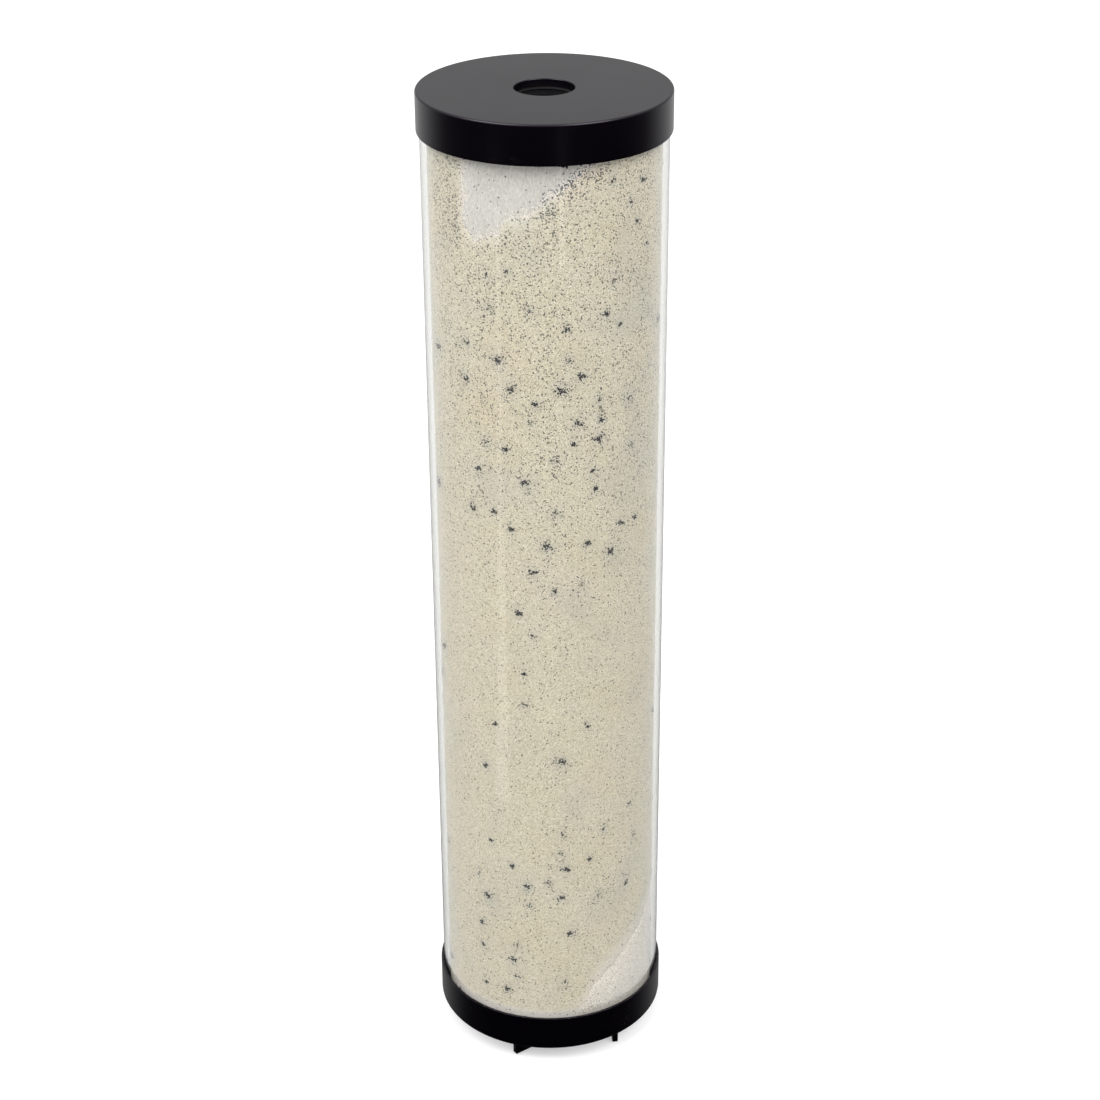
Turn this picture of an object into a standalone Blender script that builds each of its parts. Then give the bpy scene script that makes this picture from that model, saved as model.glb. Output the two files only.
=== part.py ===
"""Drop-in resin filter cartridge: a clear tube of resin beads between two bonded end caps.

Units are metres, +Z is up, and the origin is on the floor under the cartridge's axis. Water comes in
under the bottom cap, rises through the bed and leaves by the outlet in the top cap.
"""

import math

import bmesh
import bpy
from mathutils import Matrix

# Envelope
CAP_RADIUS = 0.058
BODY_HEIGHT = 0.4905
RIB_HEIGHT = 0.0095
TOP_CAP_HEIGHT = 0.0186
BOTTOM_CAP_HEIGHT = 0.0189

# Walls and fits
GAP = 0.0003
SKIRT_WALL = 0.0012
DISC_THICKNESS = 0.003
TUBE_WALL = 0.0028
INNER_RING_WALL = 0.0018
INNER_RING_DEPTH = 0.0051
TUBE_SEAT = 0.0028
EDGE_FILLET = 0.0009
LIP_FILLET = 0.0004

# Outlet
HOLE_RADIUS = 0.0138
NECK_DEPTH = 0.008
NECK_RADIUS = 0.0188
SEAL_SEAT_DEPTH = 0.0034
SEAL_POCKET_RADIUS = 0.017
SEAL_HEIGHT = 0.0014
SEAL_LIP_RADIUS = 0.0131
RETAINER_RADIUS = 0.0143

# Bed, pads and plates
PLATE_THICKNESS = 0.002
PLATE_RADIUS = 0.0512
PLATE_LIP = 0.0007
PLATE_LIP_RADIUS = 0.0527
PLATE_TRAVEL = 0.003
MESH_THICKNESS = 0.0004
MESH_RADIUS = 0.0522
TOP_PAD_THICKNESS = 0.003
BOTTOM_PAD_THICKNESS = 0.005
SUPPORT_RADIUS = 0.0513
SUPPORT_THICKNESS = 0.0025
SUPPORT_STANDOFF = 0.0022
SUPPORT_RIM_WIDTH = 0.003
SUPPORT_BOSS_RADIUS = 0.006

# Turned-over pad corners, which lie along the tube's wall
CORNER_THICKNESS = 0.0008
CORNER_DEPTH = 0.0002
TOP_CORNER_OUTLINE = (
    (-0.036, -0.033),
    (-0.031, -0.039),
    (-0.021, -0.035),
    (-0.017, -0.028),
    (-0.006, -0.0245),
    (0.024, 0.0),
    (0.027, 0.0025),
    (-0.036, 0.0025),
)
BOTTOM_CORNER_AZIMUTH = math.radians(80)
BOTTOM_CORNER_TIP = 0.09
BOTTOM_CORNER_SLOPE = 0.83
BOTTOM_CORNER_SPREAD = math.radians(72)

# Ribs and inlet slots under the bottom cap
RIB_COUNT = 6
RIB_THICKNESS = 0.003
RIB_EDGE = 0.0006
RIB_OUTER_RADIUS = 0.0532
RIB_LENGTH = 0.026
RIB_FIRST_AZIMUTH = math.radians(-20.6)
RIB_SLANT = math.radians(-33.4)
SLOT_WIDTH = 0.003
SLOT_LENGTH = 0.016
SLOT_OFFSETS = (0.009, 0.016)
CENTRE_SLOT_RADIUS = 0.014
CENTRE_SLOT_LENGTH = 0.010

# Spring
SPRING_WIRE_RADIUS = 0.001
SPRING_TOP_RADIUS = 0.024
SPRING_BOTTOM_RADIUS = 0.047
SPRING_TURNS = 3
SPRING_POINTS_PER_TURN = 24

# Perforations: radius of each ring of holes and how many it has
PLATE_HOLES = ((0.0225, 8), (0.0325, 12), (0.0415, 16))
SUPPORT_HOLES = ((0.014, 6), (0.024, 10), (0.034, 14), (0.0425, 16))
PLATE_HOLE_RADIUS = 0.0022
SUPPORT_HOLE_RADIUS = 0.0025
HOLE_SIDES = 8

# Roundness
SEGMENTS = 72
SMALL_SEGMENTS = 48
FILLET_STEPS = 2
MERGE = 0.00001
CUT_MARGIN = 0.002

# Levels, from the floor up
OVERALL = RIB_HEIGHT + BODY_HEIGHT
FLOOR_TOP = RIB_HEIGHT + DISC_THICKNESS
BOTTOM_SKIRT_TOP = RIB_HEIGHT + BOTTOM_CAP_HEIGHT
DISC_UNDER = OVERALL - DISC_THICKNESS
TOP_SKIRT_LOW = OVERALL - TOP_CAP_HEIGHT
TUBE_LOW = FLOOR_TOP + TUBE_SEAT
TUBE_HIGH = DISC_UNDER - TUBE_SEAT
NECK_LOW = OVERALL - NECK_DEPTH
PLATE_TOP = NECK_LOW - PLATE_TRAVEL - 0.0007
PLATE_LOW = PLATE_TOP - PLATE_THICKNESS
TOP_MESH_LOW = PLATE_LOW - GAP - MESH_THICKNESS
TOP_PAD_LOW = TOP_MESH_LOW - GAP - TOP_PAD_THICKNESS
BED_TOP = TOP_PAD_LOW - GAP
SUPPORT_LOW = FLOOR_TOP + GAP
SUPPORT_TOP = SUPPORT_LOW + SUPPORT_STANDOFF + SUPPORT_THICKNESS
BOTTOM_MESH_LOW = max(SUPPORT_TOP, FLOOR_TOP + INNER_RING_DEPTH) + GAP
BOTTOM_PAD_LOW = BOTTOM_MESH_LOW + MESH_THICKNESS + GAP
BED_LOW = BOTTOM_PAD_LOW + BOTTOM_PAD_THICKNESS + GAP

# Radii, from the skirt inwards
SKIRT_BORE = CAP_RADIUS - SKIRT_WALL
TUBE_RADIUS = SKIRT_BORE - GAP
TUBE_BORE = TUBE_RADIUS - TUBE_WALL
FILL_RADIUS = TUBE_BORE - GAP
INNER_RING_RADIUS = FILL_RADIUS
INNER_RING_BORE = INNER_RING_RADIUS - INNER_RING_WALL
CORNER_OUTER = FILL_RADIUS - CORNER_DEPTH
CORNER_INNER = CORNER_OUTER - CORNER_THICKNESS

PARTS = "resin_filter_cartridge"
CUTTERS = "cutters"


def clear_scene():
    """Remove everything that the file holds, and make the two collections."""
    for thing in list(bpy.data.objects):
        bpy.data.objects.remove(thing, do_unlink=True)
    for name in (PARTS, CUTTERS):
        collection = bpy.data.collections.new(name)
        bpy.context.scene.collection.children.link(collection)


def material(name, colour, roughness, metallic=0.0, alpha=1.0):
    """A Principled material with the given finish."""
    made = bpy.data.materials.new(name)
    made.use_nodes = True
    shader = made.node_tree.nodes["Principled BSDF"]
    shader.inputs["Base Color"].default_value = (*colour, 1.0)
    shader.inputs["Roughness"].default_value = roughness
    shader.inputs["Metallic"].default_value = metallic
    shader.inputs["Alpha"].default_value = alpha
    return made


def add_object(name, data, finish=None, collection=PARTS):
    """Put new data in a collection as an object."""
    thing = bpy.data.objects.new(name, data)
    bpy.data.collections[collection].objects.link(thing)
    if finish is not None:
        data.materials.append(finish)
    return thing


def hide_cutter(thing):
    """Show a cutter as wire and leave it out of renders."""
    thing.hide_render = True
    thing.display_type = "WIRE"
    return thing


def fillet(centre, radius, start, end):
    """Points of a rounded corner in the (r, z) plane, from one angle to another in degrees."""
    points = []
    for step in range(FILLET_STEPS + 1):
        angle = math.radians(start + (end - start) * step / FILLET_STEPS)
        r = centre[0] + radius * math.cos(angle)
        z = centre[1] + radius * math.sin(angle)
        points.append((r, z))
    return points


def turned(name, outline, finish=None, closed=True, segments=SEGMENTS, collection=PARTS):
    """Turn an (r, z) outline round +Z. It runs down the outer side; an open one starts and ends on the axis."""
    mesh = bpy.data.meshes.new(name)
    vertices = [(r, 0.0, z) for r, z in outline]
    edges = [(i, i + 1) for i in range(len(outline) - 1)]
    if closed:
        edges.append((len(outline) - 1, 0))
    mesh.from_pydata(vertices, edges, [])
    thing = add_object(name, mesh, finish, collection)
    screw = thing.modifiers.new("turn", "SCREW")
    screw.angle = math.tau
    screw.steps = segments
    screw.render_steps = segments
    screw.use_merge_vertices = True
    screw.merge_threshold = MERGE
    screw.use_smooth_shade = True
    return thing


def ring_outline(inner, outer, low, high):
    """A plain rectangular ring section, clockwise from its inner top corner."""
    return [(inner, high), (outer, high), (outer, low), (inner, low)]


def disc_outline(radius, low, high):
    """Half of a plain disc's section, from the axis at the top to the axis at the bottom."""
    return [(0.0, high), (radius, high), (radius, low), (0.0, low)]


def prism(name, outline, depth, collection=CUTTERS):
    """A flat outline in (x, z), extruded along Y to both sides of the plane y = 0."""
    curve = bpy.data.curves.new(name, "CURVE")
    curve.dimensions = "2D"
    curve.fill_mode = "BOTH"
    curve.extrude = depth / 2
    spline = curve.splines.new("POLY")
    spline.points.add(len(outline) - 1)
    for point, (x, z) in zip(spline.points, outline):
        point.co = (x, z, 0.0, 1.0)
    spline.use_cyclic_u = True
    guide = add_object(name + "_guide", curve, None, collection)
    guide.rotation_euler.x = math.pi / 2
    bpy.context.view_layer.update()
    evaluated = guide.evaluated_get(bpy.context.evaluated_depsgraph_get())
    mesh = bpy.data.meshes.new_from_object(evaluated)
    mesh.transform(guide.matrix_world)
    weld(mesh)
    bpy.data.objects.remove(guide, do_unlink=True)
    return hide_cutter(add_object(name, mesh, None, collection))


def weld(mesh):
    """Join a mesh's loose caps to its walls and point its faces outwards."""
    work = bmesh.new()
    work.from_mesh(mesh)
    bmesh.ops.remove_doubles(work, verts=work.verts, dist=MERGE)
    bmesh.ops.recalc_face_normals(work, faces=work.faces)
    work.to_mesh(mesh)
    work.free()


def boolean(thing, other, operation="DIFFERENCE"):
    """Add an exact Boolean modifier."""
    cut = thing.modifiers.new(operation.lower(), "BOOLEAN")
    cut.operation = operation
    cut.solver = "EXACT"
    cut.object = other
    return cut


def grown(outline, margin):
    """An outline, running counter-clockwise, with every side moved outwards by the margin."""
    sides = []
    for (x0, y0), (x1, y1) in zip(outline, outline[1:] + outline[:1]):
        length = math.hypot(x1 - x0, y1 - y0)
        out_x, out_y = (y1 - y0) / length, (x0 - x1) / length
        sides.append((out_x, out_y, out_x * x0 + out_y * y0 + margin))
    points = []
    for (a0, b0, c0), (a1, b1, c1) in zip(sides[-1:] + sides[:-1], sides):
        across = a0 * b1 - a1 * b0
        points.append(((c0 * b1 - c1 * b0) / across, (a0 * c1 - a1 * c0) / across))
    return points


def slot_cutter(name, length, width, low, high):
    """One mesh of a round-ended slot along +X, centred on the axis."""
    work = bmesh.new()
    half = length / 2 - width / 2
    bmesh.ops.create_cone(
        work,
        cap_ends=True,
        segments=12,
        radius1=width / 2,
        radius2=width / 2,
        depth=high - low,
        matrix=Matrix.Translation((0.0, 0.0, (low + high) / 2)),
    )
    for vertex in work.verts:
        vertex.co.x += math.copysign(half, vertex.co.x)
    mesh = bpy.data.meshes.new(name)
    work.to_mesh(mesh)
    work.free()
    return mesh


def drill_rings(thing, rings, radius, low, high):
    """Cut rings of round holes through a plate, along Z."""
    work = bmesh.new()
    for ring_radius, count in rings:
        for index in range(count):
            turn = Matrix.Rotation(math.tau * index / count, 4, "Z")
            place = turn @ Matrix.Translation((ring_radius, 0.0, (low + high) / 2))
            bmesh.ops.create_cone(
                work,
                cap_ends=True,
                segments=HOLE_SIDES,
                radius1=radius,
                radius2=radius,
                depth=high - low,
                matrix=place,
            )
    mesh = bpy.data.meshes.new(thing.name + "_drills")
    work.to_mesh(mesh)
    work.free()
    drills = hide_cutter(add_object(thing.name + "_drills", mesh, None, CUTTERS))
    boolean(thing, drills)


def make_body_tube(clear):
    """Clear tube, its ends standing in the caps' grooves."""
    turned("body_tube", ring_outline(TUBE_BORE, TUBE_RADIUS, TUBE_LOW, TUBE_HIGH), clear)


def make_top_cap(black):
    """Flat-faced cap: skirt, locating ring, outlet hole and the neck that holds the seal."""
    seat = OVERALL - SEAL_SEAT_DEPTH
    ring_low = DISC_UNDER - INNER_RING_DEPTH
    outline = [
        *fillet((HOLE_RADIUS + LIP_FILLET, OVERALL - LIP_FILLET), LIP_FILLET, 180, 90),
        *fillet((CAP_RADIUS - EDGE_FILLET, OVERALL - EDGE_FILLET), EDGE_FILLET, 90, 0),
        *fillet((CAP_RADIUS - LIP_FILLET, TOP_SKIRT_LOW + LIP_FILLET), LIP_FILLET, 0, -90),
        (SKIRT_BORE, TOP_SKIRT_LOW),
        (SKIRT_BORE, DISC_UNDER),
        (INNER_RING_RADIUS, DISC_UNDER),
        (INNER_RING_RADIUS, ring_low),
        (INNER_RING_BORE, ring_low),
        (INNER_RING_BORE, DISC_UNDER),
        (NECK_RADIUS, DISC_UNDER),
        (NECK_RADIUS, NECK_LOW),
        (SEAL_POCKET_RADIUS, NECK_LOW),
        (SEAL_POCKET_RADIUS, seat),
        (HOLE_RADIUS, seat),
    ]
    turned("top_cap", outline, black)


def make_bottom_cap(black):
    """Cup-shaped cap: skirt, locating ring, slotted floor, and the ribs that it stands on."""
    ring_high = FLOOR_TOP + INNER_RING_DEPTH
    outline = [
        (0.0, FLOOR_TOP),
        (INNER_RING_BORE, FLOOR_TOP),
        (INNER_RING_BORE, ring_high),
        (INNER_RING_RADIUS, ring_high),
        (INNER_RING_RADIUS, FLOOR_TOP),
        (SKIRT_BORE, FLOOR_TOP),
        (SKIRT_BORE, BOTTOM_SKIRT_TOP),
        *fillet((CAP_RADIUS - LIP_FILLET, BOTTOM_SKIRT_TOP - LIP_FILLET), LIP_FILLET, 90, 0),
        *fillet((CAP_RADIUS - EDGE_FILLET, RIB_HEIGHT + EDGE_FILLET), EDGE_FILLET, 0, -90),
        (0.0, RIB_HEIGHT),
    ]
    cap = turned("bottom_cap", outline, black, closed=False)
    for index in range(RIB_COUNT):
        boolean(cap, make_rib(index), "UNION")
    boolean(cap, make_inlet_slots())


def rib_frame(index):
    """Matrix with its origin at a rib's outer end and +X along the rib, inwards."""
    azimuth = RIB_FIRST_AZIMUTH + math.tau * index / RIB_COUNT
    spot = Matrix.Translation(
        (RIB_OUTER_RADIUS * math.sin(azimuth), -RIB_OUTER_RADIUS * math.cos(azimuth), 0.0)
    )
    return spot @ Matrix.Rotation(azimuth + math.pi / 2 + RIB_SLANT, 4, "Z")


def make_rib(index):
    """One straight rib with rounded lower edges, sunk into the cap's floor."""
    name = f"rib_{index + 1}"
    sunk = DISC_THICKNESS / 2
    work = bmesh.new()
    bmesh.ops.create_cube(work, size=1.0)
    size = Matrix.Diagonal((RIB_LENGTH, RIB_THICKNESS, RIB_HEIGHT + sunk, 1.0))
    place = Matrix.Translation((RIB_LENGTH / 2, 0.0, (RIB_HEIGHT + sunk) / 2))
    bmesh.ops.transform(work, matrix=place @ size, verts=work.verts)
    lower = [edge for edge in work.edges if all(v.co.z < MERGE for v in edge.verts)]
    bmesh.ops.bevel(
        work, geom=lower, offset=RIB_EDGE, segments=2, profile=0.5, affect="EDGES"
    )
    bmesh.ops.transform(work, matrix=rib_frame(index), verts=work.verts)
    mesh = bpy.data.meshes.new(name)
    work.to_mesh(mesh)
    work.free()
    return hide_cutter(add_object(name, mesh, None, CUTTERS))


def make_inlet_slots():
    """Round-ended slots through the cap's floor: a pair beside each rib and a ring round the centre."""
    low = RIB_HEIGHT - CUT_MARGIN
    high = FLOOR_TOP + CUT_MARGIN
    slot = slot_cutter("slot", SLOT_LENGTH, SLOT_WIDTH, low, high)
    centre_slot = slot_cutter("centre_slot", CENTRE_SLOT_LENGTH, SLOT_WIDTH, low, high)
    work = bmesh.new()
    for index in range(RIB_COUNT):
        for offset in SLOT_OFFSETS:
            place = rib_frame(index) @ Matrix.Translation((RIB_LENGTH / 2, offset, 0.0))
            add_copy(work, slot, place)
        turn = Matrix.Rotation(math.tau * index / RIB_COUNT, 4, "Z")
        add_copy(work, centre_slot, turn @ Matrix.Translation((CENTRE_SLOT_RADIUS, 0.0, 0.0)))
    mesh = bpy.data.meshes.new("inlet_slots")
    work.to_mesh(mesh)
    work.free()
    return hide_cutter(add_object("inlet_slots", mesh, None, CUTTERS))


def add_copy(work, mesh, place):
    """Add a placed copy of a mesh to a bmesh."""
    before = len(work.verts)
    work.from_mesh(mesh)
    work.verts.ensure_lookup_table()
    bmesh.ops.transform(work, matrix=place, verts=work.verts[before:])


def make_bond_rings(adhesive):
    """Adhesive at the bottom of each cap's groove, where the tube's end stands."""
    high = DISC_UNDER - GAP
    turned("top_bond_ring", ring_outline(TUBE_BORE, TUBE_RADIUS, TUBE_HIGH + GAP, high), adhesive)
    low = FLOOR_TOP + GAP
    turned("bottom_bond_ring", ring_outline(TUBE_BORE, TUBE_RADIUS, low, TUBE_LOW - GAP), adhesive)


def make_outlet_seal(rubber, black):
    """Lip seal under the hole's edge, and the ring that holds it in the neck."""
    high = OVERALL - SEAL_SEAT_DEPTH - GAP
    low = high - SEAL_HEIGHT
    outer = SEAL_POCKET_RADIUS - GAP
    lip = [
        (SEAL_LIP_RADIUS, high - SEAL_HEIGHT / 2),
        (HOLE_RADIUS + LIP_FILLET, high),
        (outer, high),
        (outer, low),
        (HOLE_RADIUS + LIP_FILLET, low),
        (SEAL_LIP_RADIUS, low + SEAL_HEIGHT / 4),
    ]
    turned("outlet_lip_seal", lip, rubber, segments=SMALL_SEGMENTS)
    retainer = ring_outline(RETAINER_RADIUS, outer, NECK_LOW + GAP, low - GAP)
    turned("seal_retainer", retainer, black, segments=SMALL_SEGMENTS)


def make_pressure_plate(black):
    """Perforated plate that presses the bed down, with a lip that carries its wiper ring."""
    step = PLATE_LOW + PLATE_LIP
    outline = [
        (0.0, PLATE_TOP),
        (PLATE_RADIUS, PLATE_TOP),
        (PLATE_RADIUS, step),
        (PLATE_LIP_RADIUS, step),
        (PLATE_LIP_RADIUS, PLATE_LOW),
        (0.0, PLATE_LOW),
    ]
    plate = turned("pressure_plate", outline, black, closed=False)
    drill_rings(plate, PLATE_HOLES, PLATE_HOLE_RADIUS, PLATE_LOW - CUT_MARGIN, PLATE_TOP + CUT_MARGIN)


def make_plate_wiper(rubber):
    """Soft ring on the plate's lip, which keeps beads from passing the plate's edge."""
    low = PLATE_LOW + PLATE_LIP + GAP
    ring = ring_outline(PLATE_RADIUS + GAP, FILL_RADIUS, low, PLATE_TOP)
    turned("plate_wiper_ring", ring, rubber)


def make_mesh_discs(mesh_finish):
    """Fine mesh discs that hold the beads back at both ends."""
    top = disc_outline(MESH_RADIUS, TOP_MESH_LOW, TOP_MESH_LOW + MESH_THICKNESS)
    turned("top_mesh_disc", top, mesh_finish, closed=False)
    high = BOTTOM_MESH_LOW + MESH_THICKNESS
    bottom = disc_outline(FILL_RADIUS, BOTTOM_MESH_LOW, high)
    turned("bottom_mesh_disc", bottom, mesh_finish, closed=False)


def make_support_plate(black):
    """Perforated plate on a rim and a boss, which keep a space for the water under it."""
    under = SUPPORT_LOW + SUPPORT_STANDOFF
    rim = SUPPORT_RADIUS - SUPPORT_RIM_WIDTH
    outline = [
        (0.0, SUPPORT_TOP),
        (SUPPORT_RADIUS, SUPPORT_TOP),
        (SUPPORT_RADIUS, SUPPORT_LOW),
        (rim, SUPPORT_LOW),
        (rim, under),
        (SUPPORT_BOSS_RADIUS, under),
        (SUPPORT_BOSS_RADIUS, SUPPORT_LOW),
        (0.0, SUPPORT_LOW),
    ]
    plate = turned("support_plate", outline, black, closed=False)
    drill_rings(plate, SUPPORT_HOLES, SUPPORT_HOLE_RADIUS, under - CUT_MARGIN, SUPPORT_TOP + CUT_MARGIN)


def top_corner_outline():
    """The turned-down corner as the front shows it, counter-clockwise, in (x, z)."""
    return [(x, BED_TOP + z) for x, z in TOP_CORNER_OUTLINE]


def bottom_corner_outline():
    """The turned-up corner, whose straight cut edges fall to both sides of its tip, in (x, z)."""
    right = []
    steps = 6
    for step in range(steps + 1):
        angle = BOTTOM_CORNER_SPREAD * step / steps
        z = BOTTOM_CORNER_TIP - BOTTOM_CORNER_SLOPE * FILL_RADIUS * angle
        right.append((FILL_RADIUS * math.sin(angle), max(z, BED_LOW - 0.0015)))
    left = [(-x, z) for x, z in right[:0:-1]]
    base = BED_LOW - 0.0025
    return [*right, (right[-1][0], base), (-right[-1][0], base), *left][::-1]


def corner_piece(name, outline, azimuth, low, high, inner, outer):
    """The part of a thin shell that an outline covers, as seen from an azimuth (0 faces -Y)."""
    shell = turned(name, ring_outline(inner, outer, low, high), None, collection=CUTTERS)
    hide_cutter(shell)
    reach = 2 * CAP_RADIUS
    window = prism(name + "_window", outline, reach)
    window.data.transform(Matrix.Translation((0.0, -reach / 2, 0.0)))
    window.rotation_euler.z = azimuth
    boolean(shell, window, "INTERSECT")
    return shell


def make_pads_and_bed(fleece, resin):
    """Fleece pads with their turned-over corners, and the bed with the hollows where these lie."""
    bed = turned("resin_bed", disc_outline(FILL_RADIUS, BED_LOW, BED_TOP), resin, closed=False)
    hollow_radius = FILL_RADIUS + CUT_MARGIN
    pads = (
        ("top", TOP_PAD_LOW, TOP_PAD_THICKNESS, top_corner_outline(), 0.0),
        (
            "bottom",
            BOTTOM_PAD_LOW,
            BOTTOM_PAD_THICKNESS,
            bottom_corner_outline(),
            BOTTOM_CORNER_AZIMUTH,
        ),
    )
    for end, low, thickness, outline, azimuth in pads:
        name = f"{end}_fleece_pad"
        pad = turned(name, disc_outline(FILL_RADIUS, low, low + thickness), fleece, closed=False)
        reach = [BED_LOW - 0.02, BED_TOP + 0.02]
        corner = corner_piece(
            f"{end}_corner", outline, azimuth, *reach, CORNER_INNER, CORNER_OUTER
        )
        boolean(pad, corner, "UNION")
        hollow = corner_piece(
            f"{end}_hollow", grown(outline, GAP), azimuth, *reach, CORNER_INNER - GAP, hollow_radius
        )
        boolean(bed, hollow)


def make_spring(steel):
    """Conical compression spring between the top cap and the pressure plate, with flat end turns."""
    low = PLATE_TOP + GAP + SPRING_WIRE_RADIUS
    high = DISC_UNDER - GAP - SPRING_WIRE_RADIUS
    count = SPRING_TURNS * SPRING_POINTS_PER_TURN + 1
    curve = bpy.data.curves.new("compression_spring", "CURVE")
    curve.dimensions = "3D"
    curve.bevel_depth = SPRING_WIRE_RADIUS
    curve.bevel_resolution = 2
    curve.use_fill_caps = True
    spline = curve.splines.new("POLY")
    spline.points.add(count - 1)
    for index, point in enumerate(spline.points):
        share = index / (count - 1)
        angle = math.tau * SPRING_TURNS * share
        radius = SPRING_BOTTOM_RADIUS + (SPRING_TOP_RADIUS - SPRING_BOTTOM_RADIUS) * share
        rise = share * share * (3.0 - 2.0 * share)
        z = low + (high - low) * rise
        point.co = (radius * math.cos(angle), radius * math.sin(angle), z, 1.0)
    add_object("compression_spring", curve, steel)


def main():
    """Build the cartridge."""
    clear_scene()
    clear = material("clear_plastic", (0.92, 0.93, 0.92), 0.05, alpha=0.3)
    black = material("black_plastic", (0.012, 0.011, 0.014), 0.28)
    inner = material("inner_plastic", (0.62, 0.62, 0.6), 0.45)
    adhesive = material("adhesive", (0.02, 0.02, 0.022), 0.5)
    rubber = material("seal_rubber", (0.015, 0.015, 0.016), 0.6)
    steel = material("spring_steel", (0.62, 0.62, 0.6), 0.25, metallic=1.0)
    mesh_finish = material("filter_mesh", (0.8, 0.8, 0.78), 0.6)
    fleece = material("fleece", (0.84, 0.83, 0.8), 0.9)
    resin = material("resin_beads", (0.72, 0.67, 0.55), 0.7)
    make_body_tube(clear)
    make_top_cap(black)
    make_bottom_cap(black)
    make_bond_rings(adhesive)
    make_outlet_seal(rubber, black)
    make_pressure_plate(inner)
    make_plate_wiper(rubber)
    make_mesh_discs(mesh_finish)
    make_support_plate(inner)
    make_pads_and_bed(fleece, resin)
    make_spring(steel)


main()
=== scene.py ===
"""Looks of a drop-in resin filter cartridge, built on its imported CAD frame.

A clear tube stands between two black caps and shows a packed bed of cream resin beads. Everything is in
metres in the frame of the CAD model: +Z is up, and the origin is on the floor under the cartridge's axis.
"""

from __future__ import annotations

import logging
import math
import random
from dataclasses import dataclass, field
from enum import Enum
from typing import Callable, Sequence

import bmesh
import bpy
from mathutils import Matrix, Vector, noise


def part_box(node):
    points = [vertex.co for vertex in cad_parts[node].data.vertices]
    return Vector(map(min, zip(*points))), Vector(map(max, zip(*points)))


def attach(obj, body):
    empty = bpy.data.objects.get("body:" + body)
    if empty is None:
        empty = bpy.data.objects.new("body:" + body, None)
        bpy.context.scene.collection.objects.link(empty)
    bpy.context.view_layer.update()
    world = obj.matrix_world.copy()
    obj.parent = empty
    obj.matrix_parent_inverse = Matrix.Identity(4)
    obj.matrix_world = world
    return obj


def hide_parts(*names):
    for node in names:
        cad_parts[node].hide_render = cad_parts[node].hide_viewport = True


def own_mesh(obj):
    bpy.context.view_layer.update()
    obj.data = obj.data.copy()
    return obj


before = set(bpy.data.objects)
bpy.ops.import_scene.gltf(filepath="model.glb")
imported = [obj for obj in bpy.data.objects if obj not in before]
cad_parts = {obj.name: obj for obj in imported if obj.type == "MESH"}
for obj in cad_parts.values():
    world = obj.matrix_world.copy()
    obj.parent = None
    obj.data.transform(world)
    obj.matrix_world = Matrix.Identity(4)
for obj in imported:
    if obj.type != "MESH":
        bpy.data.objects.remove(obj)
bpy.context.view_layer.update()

LOG = logging.getLogger("cartridge")
MM = 0.001
FINE = 0.00001
RING_TOLERANCE = 5 * FINE
ROUND_SEGMENTS = 192
FILL_RADIUS = 53.2 * MM
GRANULE_STAND = 0.1 * MM

Colour = tuple[float, float, float]
Place = tuple[float, float, float]


class Body(Enum):
    """Bodies of the CAD model that new pieces ride on."""

    CARTRIDGE = "cartridge"


class Slot(Enum):
    """Material slots of the record."""

    CLEAR_PLASTIC = "clear_plastic"
    BLACK_PLASTIC = "black_plastic"
    ADHESIVE = "adhesive"
    SPRING_STEEL = "spring_steel"
    FLEECE = "fleece"
    RESIN_BEADS = "resin_beads"


@dataclass
class Span:
    """Lowest and highest corner of a CAD node."""

    low: Vector
    high: Vector

    @classmethod
    def of(cls, node: str) -> Span:
        """Span of a node at rest."""
        low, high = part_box(node)
        return cls(Vector(low), Vector(high))

    @property
    def radius(self) -> float:
        """Outer radius of a node that is round about the axis."""
        return (self.high.x - self.low.x) / 2


# ---------------------------------------------------------------------------------------------------
# Mesh work
# ---------------------------------------------------------------------------------------------------


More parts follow.
